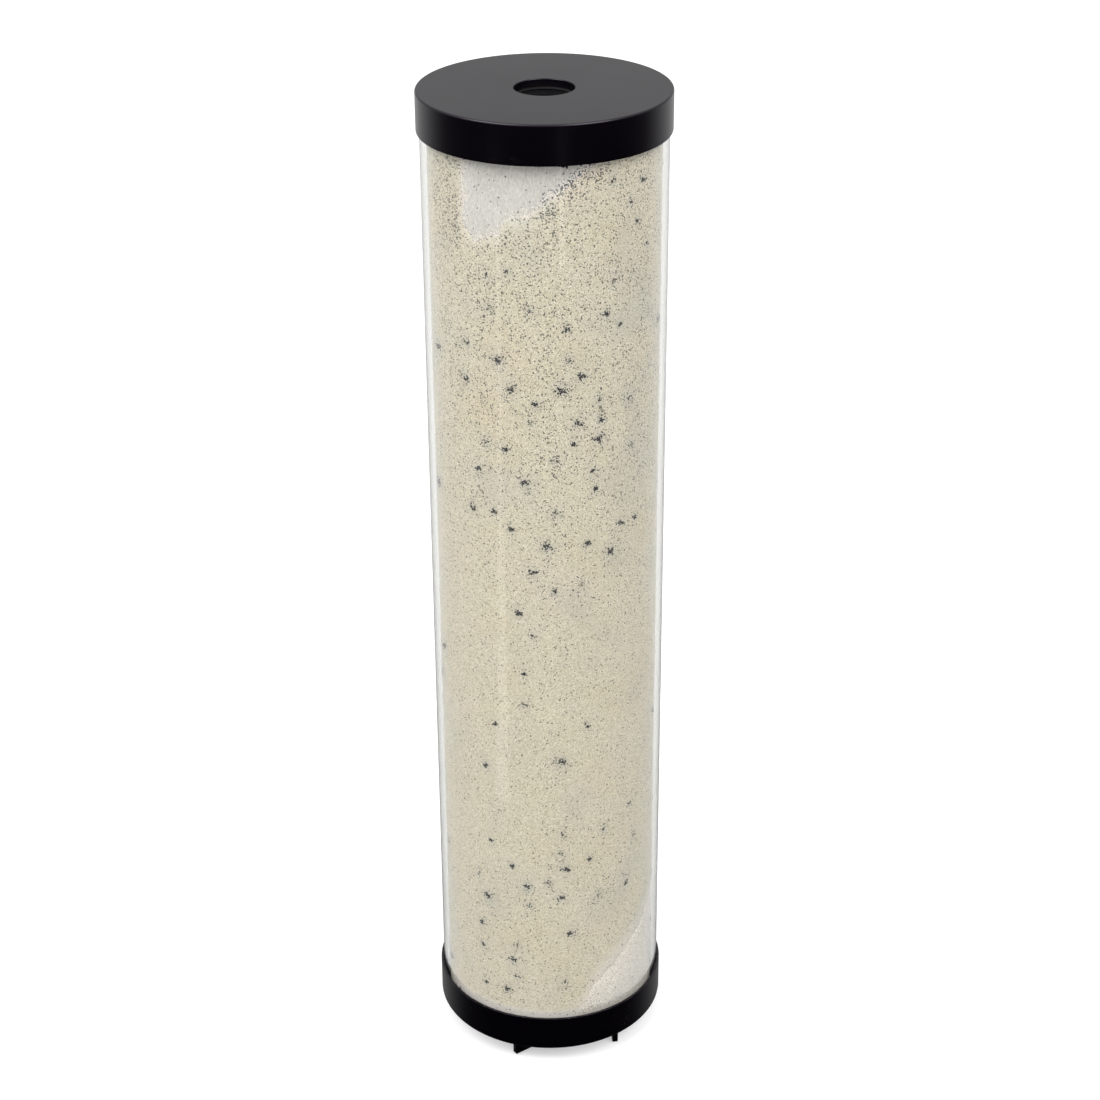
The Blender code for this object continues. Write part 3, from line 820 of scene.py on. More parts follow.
@dataclass
class TopCap:
    """Flat-faced cap with its skirt, locating ring, outlet hole and seal neck."""

    box: Span = field(default_factory=lambda: Span.of("top_cap"))
    disc: float = 3.0 * MM
    skirt_wall: float = 1.2 * MM
    ring_outer: float = 53.4 * MM
    ring_inner: float = 51.6 * MM
    ring_depth: float = 5.1 * MM
    neck_outer: float = 18.8 * MM
    neck_depth: float = 8.0 * MM
    pocket: float = 17.0 * MM
    seat_depth: float = 3.4 * MM
    hole: float = 13.8 * MM
    edge_round: float = 1.0 * MM
    hole_round: float = 0.5 * MM
    lip_round: float = 0.4 * MM

    def build(self, finishes: Finishes) -> bpy.types.Object:
        """Model and dress the cap.

        Args:
            finishes: The cartridge's materials.

        Returns:
            The cap.
        """
        low, high, outer = self.box.low.z, self.box.high.z, self.box.radius
        cap = new_cylinder("top_cap_moulding", outer, low, high)
        under = high - self.disc
        with Bench(cap) as bench:
            self.hollow(bench, low, under, high)
            self.open_outlet(bench, high, outer)
            bench.round_ring(outer, high, self.edge_round, 4)
            bench.round_ring(self.hole, high, self.hole_round, 3)
            bench.round_ring(outer, low, self.lip_round, 2)
            bench.tidy_normals()
        smooth_with_flats(cap)
        finish_piece(cap, Body.CARTRIDGE, Slot.BLACK_PLASTIC, finishes.black, "top_cap")
        return cap

    def hollow(self, bench: Bench, low: float, under: float, high: float) -> None:
        """Work the underside in steps: skirt, groove, locating ring, ceiling, neck and seal pocket.

        Args:
            bench: The cap in edit mode.
            low: Level of the skirt's lower edge.
            under: Level of the disc's lower face.
            high: Level of the flat face.
        """
        outer = self.box.radius
        skirt_bore = outer - self.skirt_wall
        bench.pick_flat_face(low, up=False)
        bench.step_in(outer, skirt_bore, under - low)
        bench.step_in(skirt_bore, self.ring_outer, -self.ring_depth)
        bench.step_in(self.ring_outer, self.ring_inner, self.ring_depth)
        bench.step_in(self.ring_inner, self.neck_outer, high - self.neck_depth - under)
        bench.step_in(self.neck_outer, self.pocket, self.neck_depth - self.seat_depth)
        bench.step_in(self.pocket, self.hole, 0.0)

    def open_outlet(self, bench: Bench, high: float, outer: float) -> None:
        """Open the hole between the flat face and the seal's seat.

        Args:
            bench: The cap in edit mode.
            high: Level of the flat face.
            outer: Radius of the flat face.
        """
        seat = high - self.seat_depth
        bench.pick_flat_face(high, up=True)
        bench.step_in(outer, self.hole, 0.0)
        bench.pick_faces(lambda face: self.closes_hole(face, high) or self.closes_hole(face, seat))
        bpy.ops.mesh.delete(type="FACE")
        bench.pick_edges(
            lambda edge: edge.is_boundary and all(v.co.xy.length < self.hole + MM for v in edge.verts)
        )
        bpy.ops.mesh.bridge_edge_loops()

    def closes_hole(self, face: bmesh.types.BMFace, level: float) -> bool:
        """Tell whether a face is the round one that closes the hole at a level."""
        centre = face.calc_center_median()
        small = all(v.co.xy.length < self.hole + RING_TOLERANCE for v in face.verts)
        return small and abs(centre.z - level) < FINE and centre.xy.length < FINE


@dataclass
class BottomCap:
    """Cap with a slotted floor and the slanted ribs that the cartridge stands on."""

    box: Span = field(default_factory=lambda: Span.of("bottom_cap"))
    rib_height: float = 9.5 * MM
    floor: float = 3.0 * MM
    skirt_wall: float = 1.2 * MM
    ring_outer: float = 53.4 * MM
    ring_inner: float = 51.6 * MM
    ring_height: float = 5.1 * MM
    edge_round: float = 1.0 * MM
    lip_round: float = 0.35 * MM
    rib_count: int = 6
    rib_thickness: float = 3.0 * MM
    rib_length: float = 26.0 * MM
    rib_reach: float = 53.2 * MM
    rib_round: float = 1.1 * MM
    first_azimuth: float = math.radians(-20.6)
    slant: float = math.radians(-33.4)
    slot_width: float = 3.0 * MM
    slot_length: float = 16.0 * MM
    slot_segments: int = 24
    slot_overshoot: float = 2.0 * MM
    slot_offsets: tuple[float, ...] = (9.0 * MM, 16.0 * MM)
    centre_slot_radius: float = 14.0 * MM
    centre_slot_length: float = 10.0 * MM

    def build(self, finishes: Finishes) -> bpy.types.Object:
        """Model and dress the cap.

        Args:
            finishes: The cartridge's materials.

        Returns:
            The cap.
        """
        outer, top = self.box.radius, self.box.high.z
        floor_top = self.rib_height + self.floor
        cap = new_cylinder("bottom_cap_moulding", outer, self.rib_height, top)
        skirt_bore = outer - self.skirt_wall
        with Bench(cap) as bench:
            bench.pick_flat_face(top, up=True)
            bench.step_in(outer, skirt_bore, floor_top - top)
            bench.step_in(skirt_bore, self.ring_outer, self.ring_height)
            bench.step_in(self.ring_outer, self.ring_inner, -self.ring_height)
            bench.round_ring(outer, self.rib_height, self.edge_round, 4)
            bench.round_ring(outer, top, self.lip_round, 2)
            bench.tidy_normals()
        for index in range(self.rib_count):
            self.combine(cap, self.make_rib(index), "UNION")
        self.combine(cap, self.make_slots(), "DIFFERENCE")
        smooth_with_flats(cap)
        finish_piece(cap, Body.CARTRIDGE, Slot.BLACK_PLASTIC, finishes.black, "bottom_cap")
        return cap

    def rib_frame(self, index: int) -> Matrix:
        """Matrix with its origin at a rib's outer end and +X along the rib, inwards."""
        azimuth = self.first_azimuth + math.tau * index / self.rib_count
        end = (self.rib_reach * math.sin(azimuth), -self.rib_reach * math.cos(azimuth), 0.0)
        return Matrix.Translation(end) @ Matrix.Rotation(azimuth + math.pi / 2 + self.slant, 4, "Z")

    def make_rib(self, index: int) -> bpy.types.Object:
        """Model one rib with rounded ends and a rounded foot, sunk into the floor."""
        sunk = self.floor / 2
        Bench.clear()
        bpy.ops.mesh.primitive_cube_add(size=1.0)
        rib = bpy.context.object
        rib.scale = (self.rib_length, self.rib_thickness, self.rib_height + sunk)
        rib.location = (self.rib_length / 2, 0.0, (self.rib_height + sunk) / 2)
        settle(rib, f"rib_{index + 1}")
        with Bench(rib) as bench:
            bench.pick_edges(lambda edge: all(v.co.z < FINE for v in edge.verts))
            bench.bevel(self.rib_round, 4)
            bench.pick_edges(lambda edge: abs((edge.verts[0].co - edge.verts[1].co).z) > 4 * MM)
            bench.bevel(self.rib_round / 3, 2)
        rib.data.transform(self.rib_frame(index))
        return rib

    def make_slots(self) -> bpy.types.Object:
        """Model the cutters of all inlet slots as one piece."""
        cutters = []
        for index in range(self.rib_count):
            for offset in self.slot_offsets:
                place = self.rib_frame(index) @ Matrix.Translation((self.rib_length / 2, offset, 0.0))
                cutters.append(self.make_slot(self.slot_length, place))
            turn = Matrix.Rotation(math.tau * index / self.rib_count, 4, "Z")
            place = turn @ Matrix.Translation((self.centre_slot_radius, 0.0, 0.0))
            cutters.append(self.make_slot(self.centre_slot_length, place))
        return join_pieces("slot_cutters", cutters)

    def make_slot(self, length: float, place: Matrix) -> bpy.types.Object:
        """Model one round-ended cutter that runs through the floor.

        Args:
            length: Length of the slot, end to end.
            place: Where the slot goes, with +X along it.

        Returns:
            The cutter.
        """
        low = self.rib_height - self.slot_overshoot
        high = self.rib_height + self.floor + self.slot_overshoot
        slot = new_cylinder("slot", self.slot_width / 2, low, high, self.slot_segments)
        half = (length - self.slot_width) / 2
        with Bench(slot) as bench:
            for side in (1.0, -1.0):
                bench.pick_points(lambda point: point.x * side > FINE / 10)
                bpy.ops.transform.translate(value=(half * side, 0.0, 0.0))
        slot.data.transform(place)
        return slot

    def combine(self, cap: bpy.types.Object, tool: bpy.types.Object, operation: str) -> None:
        """Join a rib to the cap or cut the slots from it, and remove the tool."""
        apply_modifier(cap, "BOOLEAN", operation=operation, solver="EXACT", object=tool)
        bpy.data.objects.remove(tool, do_unlink=True)


@dataclass
class ClearTube:
    """Extruded clear tube between the caps."""

    box: Span = field(default_factory=lambda: Span.of("body_tube"))
    wall: float = 2.8 * MM
    rim_round: float = 0.2 * MM
    segments: int = 256

    def build(self, finishes: Finishes) -> bpy.types.Object:
        """Model and dress the tube.

        Args:
            finishes: The cartridge's materials.

        Returns:
            The tube.
        """
        low, high = self.box.low.z, self.box.high.z
        tube = new_cylinder("clear_tube", self.box.radius, low, high, self.segments)
        with Bench(tube) as bench:
            bench.pick_faces(lambda face: abs(face.normal.z) > 0.9)
            bpy.ops.mesh.delete(type="FACE")
        apply_modifier(tube, "SOLIDIFY", thickness=self.wall, offset=-1.0, use_even_offset=True)
        with Bench(tube) as bench:
            bench.pick_edges(lambda edge: self.is_rim(edge, low) or self.is_rim(edge, high))
            bench.bevel(self.rim_round, 2)
        smooth_with_flats(tube)
        finish_piece(tube, Body.CARTRIDGE, Slot.CLEAR_PLASTIC, finishes.clear, "body_tube")
        return tube

    def is_rim(self, edge: bmesh.types.BMEdge, level: float) -> bool:
        """Tell whether an edge runs round the tube's rim at a level."""
        first, second = (v.co for v in edge.verts)
        return (
            abs(first.z - level) < FINE
            and abs(second.z - level) < FINE
            and abs(first.xy.length - second.xy.length) < FINE
        )


@dataclass(frozen=True)
class FlashBead:
    """One bead of adhesive squeezed out under a cap's skirt."""

    azimuth: float
    level: float
    width: float
    drop: float


@dataclass
class BondFlash:
    """Beads of black adhesive squeezed out where the tube enters the caps."""

    top: float = field(default_factory=lambda: Span.of("top_cap").low.z)
    bottom: float = field(default_factory=lambda: Span.of("bottom_cap").high.z)
    radius: float = 56.75 * MM
    depth: float = 0.7 * MM
    unevenness: float = 0.05 * MM

    def beads(self) -> list[FlashBead]:
        """The beads that stand out, at the front and round the back."""
        return [
            FlashBead(8.0, self.top, 2.4 * MM, 0.9 * MM),
            FlashBead(9.6, self.top, 1.2 * MM, 1.5 * MM),
            FlashBead(6.2, self.top, 1.6 * MM, 0.5 * MM),
            FlashBead(16.0, self.top, 1.0 * MM, 0.9 * MM),
            FlashBead(151.0, self.top, 1.8 * MM, 0.8 * MM),
            FlashBead(-118.0, self.top, 1.3 * MM, 0.6 * MM),
            FlashBead(-56.0, self.bottom, 1.0 * MM, -1.1 * MM),
            FlashBead(88.0, self.bottom, 1.5 * MM, -0.6 * MM),
            FlashBead(-160.0, self.bottom, 1.4 * MM, -0.7 * MM),
        ]

    def build(self, finishes: Finishes) -> bpy.types.Object:
        """Model all beads as one piece.

        Args:
            finishes: The cartridge's materials.

        Returns:
            The beads.
        """
        made = []
        for index, bead in enumerate(self.beads()):
            Bench.clear()
            bpy.ops.mesh.primitive_uv_sphere_add(segments=14, ring_count=8, radius=1.0)
            drop = bpy.context.object
            drop.scale = (bead.width / 2, self.depth / 2, abs(bead.drop))
            angle = math.radians(bead.azimuth)
            drop.location = (self.radius * math.sin(angle), -self.radius * math.cos(angle), bead.level)
            drop.rotation_euler = (0.0, 0.0, angle)
            settle(drop, f"flash_bead_{index + 1}")
            with Bench(drop) as bench:
                bench.pick_all()
                bpy.ops.transform.vertex_random(offset=self.unevenness, seed=index)
            made.append(drop)
        flash = join_pieces("bond_flash", made)
        smooth_by_angle(flash, 60.0)
        finish_piece(flash, Body.CARTRIDGE, Slot.ADHESIVE, finishes.adhesive)
        return flash


# ---------------------------------------------------------------------------------------------------
# Filling
# ---------------------------------------------------------------------------------------------------


def azimuth_of(point: Vector) -> float:
    """Angle round the axis, 0 at the front and growing to the right."""
    return math.atan2(point.x, -point.y)


def on_wall(azimuth: float, radius: float, level: float) -> Vector:
    """Point at an angle round the axis, a radius and a level."""
    return Vector((radius * math.sin(azimuth), -radius * math.cos(azimuth), level))


def between(value: float, low: float, high: float) -> float:
    """Share from 0 to 1 of the way from low to high, eased at both ends."""
    share = min(max((value - low) / (high - low), 0.0), 1.0)
    return share * share * (3.0 - 2.0 * share)


def turn_gap(first: float, second: float) -> float:
    """Smallest angle from one azimuth to another, signed."""
    return (first - second + math.pi) % math.tau - math.pi


def paint(piece: bpy.types.Object, name: str, value: Callable[[Vector], float]) -> None:
    """Store a value from 0 to 1 at every point of a piece.

    Args:
        piece: The piece that is painted.
        name: Name of the attribute.
        value: Gives the value for a place.
    """
    layer = piece.data.attributes.new(name, "FLOAT", "POINT")
    values = [min(max(value(vertex.co), 0.0), 1.0) for vertex in piece.data.vertices]
    layer.data.foreach_set("value", values)


@dataclass(frozen=True)
class TopFold:
    """Corner of the top fleece that is turned down along the wall, by the edge it ends at."""

    bed_top: float
    wall: float
    edge: tuple[tuple[float, float], ...] = (
        (-36.0, -33.0),
        (-31.0, -39.0),
        (-21.0, -35.0),
        (-17.0, -28.0),
        (-6.0, -24.5),
        (24.0, 0.0),
        (26.0, 2.0),
    )

    @property
    def start(self) -> float:
        """Azimuth of the fold's left end."""
        return math.asin(self.edge[0][0] * MM / self.wall)

    @property
    def stop(self) -> float:
        """Azimuth of the fold's right end."""
        return math.asin(self.edge[-1][0] * MM / self.wall)

    def reach(self, azimuth: float) -> float:
        """Level that the fold hangs down to at an azimuth."""
        across = self.wall * math.sin(azimuth) / MM
        for (x_from, z_from), (x_to, z_to) in zip(self.edge, self.edge[1:]):
            if across <= x_to:
                share = min(max((across - x_from) / (x_to - x_from), 0.0), 1.0)
                return self.bed_top + (z_from + (z_to - z_from) * share) * MM
        return self.bed_top + self.edge[-1][1] * MM

    def inside(self, azimuth: float, level: float) -> float:
        """How far a place on the wall lies inside the fold; negative is outside."""
        from_left = turn_gap(azimuth, self.start) * self.wall
        from_right = turn_gap(self.stop, azimuth) * self.wall
        return min(from_left, from_right, (level - self.reach(azimuth)) * 0.8)


@dataclass(frozen=True)
class BottomFold:
    """Corner of the bottom fleece that is turned up along the wall, highest at its tip."""

    bed_low: float
    wall: float
    middle: float = math.radians(80.0)
    tip: float = 90.0 * MM
    slope: float = 0.83
    spread: float = math.radians(72.0)
    rounding: float = 16.0 * MM

    @property
    def start(self) -> float:
        """Azimuth of the fold's left end."""
        return self.middle - self.spread

    @property
    def stop(self) -> float:
        """Azimuth of the fold's right end."""
        return self.middle + self.spread

    def reach(self, azimuth: float) -> float:
        """Level that the fold stands up to at an azimuth."""
        away = abs(turn_gap(azimuth, self.middle)) * self.wall
        foot = self.bed_low - 1.5 * MM
        rounded = between(self.spread * self.wall - away, 0.0, self.rounding)
        return foot + max(self.tip - self.slope * away - foot, 0.0) * rounded

    def inside(self, azimuth: float, level: float) -> float:
        """How far a place on the wall lies inside the fold; negative is outside."""
        from_end = (self.spread - abs(turn_gap(azimuth, self.middle))) * self.wall
        return min(from_end, (self.reach(azimuth) - level) * 0.77)


@dataclass(frozen=True)
class Cluster:
    """A clump of dark granules at the wall."""

    azimuth: float
    level: float
    size: float
    faint: bool = False


@dataclass(frozen=True)
class ClumpBand:
    """How many clumps lie between two shares of the bed's height and two azimuths in degrees."""

    low: float
    high: float
    left: float
    right: float
    big: int = 0
    medium: int = 0
    small: int = 0
    faint: int = 0


@dataclass
class Clusters:
    """All clumps of dark granules, drawn at random: band by band at the front, then evenly at the back."""

    bed: Span
    seed: int = 71
    strewn: int = 110
    big: float = 2.3 * MM
    medium: float = 1.9 * MM
    small: float = 1.3 * MM
    smudge: float = 1.5 * MM
    gap: float = 9.0 * MM
    tries: int = 30
    back_from: float = 66.0
    back_to: float = 298.0
    clear_below: float = 8 * MM
    clear_above: float = 10 * MM
    back_sizes: tuple[float, ...] = (1.3, 1.3, 1.5, 1.9, 2.3)
    faint_every: int = 3

    def bands(self) -> list[ClumpBand]:
        """The front's bands: many clumps above the middle, few just below it."""
        return [
            ClumpBand(0.02, 0.12, -40, 22, big=1, medium=3, small=2, faint=3),
            ClumpBand(0.12, 0.27, -42, 60, big=1, medium=2, small=5, faint=9),
            ClumpBand(0.27, 0.48, -36, 40, big=1, small=4, faint=1),
            ClumpBand(0.48, 0.57, -20, 30, medium=2, small=1, faint=2),
            ClumpBand(0.57, 0.79, -50, 50, big=4, medium=9, small=9, faint=7),
            ClumpBand(0.79, 0.90, -45, 52, big=1, small=3, faint=7),
            ClumpBand(0.90, 0.98, 28, 58, small=2, faint=3),
        ]

    def front(self, dice: random.Random) -> list[Cluster]:
        """Draw the front's clumps, each kept a little apart from those before it."""
        made: list[Cluster] = []
        for band in self.bands():
            sizes = [self.big] * band.big + [self.medium] * band.medium + [self.small] * band.small
            for size, faint in [(size, False) for size in sizes] + [(self.smudge, True)] * band.faint:
                for _ in range(self.tries):
                    clump = self.draw(band, size, faint, dice)
                    if all(self.distance(clump, other) > self.gap for other in made):
                        break
                made.append(clump)
        return made

    def draw(self, band: ClumpBand, size: float, faint: bool, dice: random.Random) -> Cluster:
        """Draw one clump in a band.

        Args:
            band: The band.
            size: Size of the clump.
            faint: Whether it is a faint smudge.
            dice: Source of random numbers.

        Returns:
            The clump.
        """
        height = self.bed.high.z - self.bed.low.z
        azimuth = math.radians(dice.uniform(band.left, band.right))
        return Cluster(azimuth, self.bed.low.z + height * dice.uniform(band.low, band.high), size, faint)

    def distance(self, first: Cluster, second: Cluster) -> float:
        """Distance between two clumps along the wall."""
        across = turn_gap(first.azimuth, second.azimuth) * self.bed.radius
        return math.hypot(across, first.level - second.level)

    def all(self) -> list[Cluster]:
        """Every clump, front ones first."""
        dice = random.Random(self.seed)
        made = self.front(dice)
        for index in range(self.strewn):
            azimuth = math.radians(dice.uniform(self.back_from, self.back_to))
            level = dice.uniform(self.bed.low.z + self.clear_below, self.bed.high.z - self.clear_above)
            size = dice.choice(self.back_sizes) * MM
            made.append(Cluster(azimuth, level, size, faint=index % self.faint_every == 0))
        return made


@dataclass
class ResinBed:
    """Packed bed of beads, hollowed where the fleece's corners lie over it."""

    box: Span
    top_fold: TopFold
    bottom_fold: BottomFold
    clusters: list[Cluster]
    segments: int = 240
    cuts: int = 219
    hollow: float = 1.15 * MM
    unevenness: float = 0.16 * MM
    few_fines: float = 0.1
    more_fines_above: float = 0.24
    fines_by_top_fold: float = 0.95
    fines_at_left: float = 0.5
    fines_in_clump: float = 0.7
    stain_by_bottom_fold: float = 0.5
    stain_in_clouds: float = 0.35
    stain_in_clump: float = 0.75
    pale_by_top_fold: float = 0.3
    pale_by_bottom_fold: float = 0.45
    clump_reach: float = 2.4
    clump_fade: float = 1.3

    def build(self, finishes: Finishes) -> bpy.types.Object:
        """Model, paint and dress the bed.

        Args:
            finishes: The cartridge's materials.

        Returns:
            The bed.
        """
        low, high = self.box.low.z, self.box.high.z
        bed = new_cylinder("resin_bead_bed", self.box.radius, low, high, self.segments)
        with Bench(bed) as bench:
            bench.pick_flat_face(high, up=True)
            bpy.ops.mesh.poke()
            bench.pick_flat_face(low, up=False)
            bpy.ops.mesh.poke()
            bench.pick_edges(lambda edge: abs((edge.verts[0].co - edge.verts[1].co).z) > 10 * MM)
            bpy.ops.mesh.subdivide(number_cuts=self.cuts)
        for vertex in bed.data.vertices:
            if vertex.co.xy.length > self.box.radius / 2:
                vertex.co = self.settled(vertex.co)
        smooth_by_angle(bed, 50.0)
        self.paint_bed(bed)
        finish_piece(bed, Body.CARTRIDGE, Slot.RESIN_BEADS, finishes.resin, "resin_bed")
        return bed

    def settled(self, point: Vector) -> Vector:
        """Place of a point of the wall once the beads have settled round the folds."""
        azimuth = azimuth_of(point)
        inside = max(self.top_fold.inside(azimuth, point.z), self.bottom_fold.inside(azimuth, point.z))
        rough = noise.noise(point * 900.0) * 0.6 + noise.noise(point * 260.0) * 0.4
        sunk = self.hollow * between(inside, -0.3 * MM, 2.2 * MM)
        rising = self.bottom_fold.inside(azimuth, point.z)
        if rising > -MM:
            sunk = self.hollow * between(rising, -0.5 * MM, 7.0 * MM)
        radius = self.box.radius - sunk - self.unevenness * (0.5 + 0.5 * rough)
        return on_wall(azimuth, radius, point.z)

    def paint_bed(self, bed: bpy.types.Object) -> None:
        """Paint where dark fines, stains and thinly covered fleece show."""
        paint(bed, "fines", self.fines)
        paint(bed, "stain", self.stain)
        paint(bed, "pale", self.pale)

    def fines(self, point: Vector) -> float:
        """Density of dark grains at a place."""
        azimuth = azimuth_of(point)
        share = (point.z - self.box.low.z) / (self.box.high.z - self.box.low.z)
        base = self.few_fines + self.more_fines_above * between(share, 0.45, 0.8)
        past_top = -self.top_fold.inside(azimuth, point.z)
        diagonal = between(azimuth, -0.2, 0.15) * between(azimuth, 0.62, 0.45)
        base += self.fines_by_top_fold * between(past_top, 12 * MM, 2 * MM) * diagonal
        left_strip = between(turn_gap(self.top_fold.start, azimuth), -0.01, 0.02)
        left_strip *= self.fines_at_left
        base += left_strip * between(azimuth, -1.35, -1.0) * between(share, 0.88, 0.94)
        return base + self.fines_in_clump * self.cluster_field(azimuth, point.z, 1.1)

    def stain(self, point: Vector) -> float:
        """Strength of the grey-blue haze at a place."""
        azimuth = azimuth_of(point)
        past_bottom = -self.bottom_fold.inside(azimuth, point.z)
        seam = between(past_bottom, 14 * MM, 0.0) * between(azimuth, 0.6, 1.2)
        clouds = between(noise.noise(point * 38.0 + Vector((3.0, 7.0, 1.0))), 0.22, 0.6)
        clumps = self.stain_in_clump * self.cluster_field(azimuth, point.z, 1.5)
        return seam * self.stain_by_bottom_fold + clouds * self.stain_in_clouds + clumps

    def pale(self, point: Vector) -> float:
        """How much of the fleece shows through thin beads at a place."""
        azimuth = azimuth_of(point)
        past_top = -self.top_fold.inside(azimuth, point.z)
        past_bottom = -self.bottom_fold.inside(azimuth, point.z)
        near = between(past_top, 4 * MM, 0.0) * self.pale_by_top_fold
        near += between(past_bottom, 8 * MM, 0.0) * self.pale_by_bottom_fold
        foot = between(point.z, self.box.low.z + 8.5 * MM, self.box.low.z + 5.5 * MM)
        return near + foot * between(math.cos(azimuth + 0.45), 0.6, 0.85)

    def cluster_field(self, azimuth: float, level: float, spread: float) -> float:
        """Sum of soft round spots at the clumps, wider with a larger spread."""
        total = 0.0
        for cluster in self.clusters:
            rise = level - cluster.level
            reach = cluster.size * spread * self.clump_reach
            if abs(rise) < reach:
                across = turn_gap(azimuth, cluster.azimuth) * self.box.radius
                total += max(0.0, 1.0 - math.hypot(across, rise) / reach) ** self.clump_fade
        return min(total, 1.0)


@dataclass
class DarkGranules:
    """Dark granules of the clumps, each a small rough grain pressed against the tube."""

    clusters: list[Cluster]
    radius: float
    variants: int = 4
    seed: int = 29
    smallest: float = 0.26 * MM
    largest: float = 0.74 * MM
    unevenness: float = 0.35
    first_grain_seed: int = 5
    in_faint: int = 7
    in_smallest: int = 5
    more_per_mm: int = 8
    spread_across: float = 0.52
    spread_along: float = 0.36
    faint_scale: float = 0.75
    sunk_share: float = 0.7

    def build(self, finishes: Finishes) -> bpy.types.Object:
        """Strew copies of a few grains over the clumps.

        Args:
            finishes: The cartridge's materials.

        Returns:
            All granules as one piece.
        """
        dice = random.Random(self.seed)
        grains = [self.make_grain(index) for index in range(self.variants)]
        strewn = []
        for cluster in self.clusters:
            full = int(self.in_smallest + self.more_per_mm * cluster.size / MM)
            count = self.in_faint if cluster.faint else full
            for _ in range(count):
                strewn.append(self.strew(dice.choice(grains), cluster, dice))
        for grain in grains:
            bpy.data.objects.remove(grain, do_unlink=True)
        piece = join_pieces("dark_granules", strewn)
        finish_piece(piece, Body.CARTRIDGE, Slot.RESIN_BEADS, finishes.granule)
        return piece

    def make_grain(self, index: int) -> bpy.types.Object:
        """Model one rough grain of 20 faces and radius 1."""
        Bench.clear()
        bpy.ops.mesh.primitive_ico_sphere_add(subdivisions=1, radius=1.0)
        grain = settle(bpy.context.object, f"grain_{index + 1}")
        with Bench(grain) as bench:
            bench.pick_all()
            bpy.ops.transform.vertex_random(offset=self.unevenness, seed=index + self.first_grain_seed)
        return grain

    def strew(self, grain: bpy.types.Object, cluster: Cluster, dice: random.Random) -> bpy.types.Object:
        """Put a copy of a grain at a random place of a clump.

        Args:
            grain: The grain that is copied.
            cluster: The clump.
            dice: Source of random numbers.

        Returns:
            The copy.
        """
        across = dice.gauss(0.0, self.spread_across) * cluster.size
        rise = dice.gauss(0.0, self.spread_along) * cluster.size
        azimuth = cluster.azimuth + across / self.radius
        scale = self.faint_scale if cluster.faint else 1.0
        size = dice.uniform(self.smallest, self.largest) * scale
        spot = on_wall(azimuth, self.radius - size * self.sunk_share, cluster.level + rise)
        angle = dice.uniform(0.0, math.tau)
        spin = Matrix.Rotation(angle, 4, Vector((dice.random(), 0.4, 0.7)).normalized())
        copy = bpy.data.objects.new("grain", grain.data.copy())
        copy.data.transform(Matrix.Translation(spot) @ spin @ Matrix.Scale(size, 4))
        bpy.context.collection.objects.link(copy)
        return copy


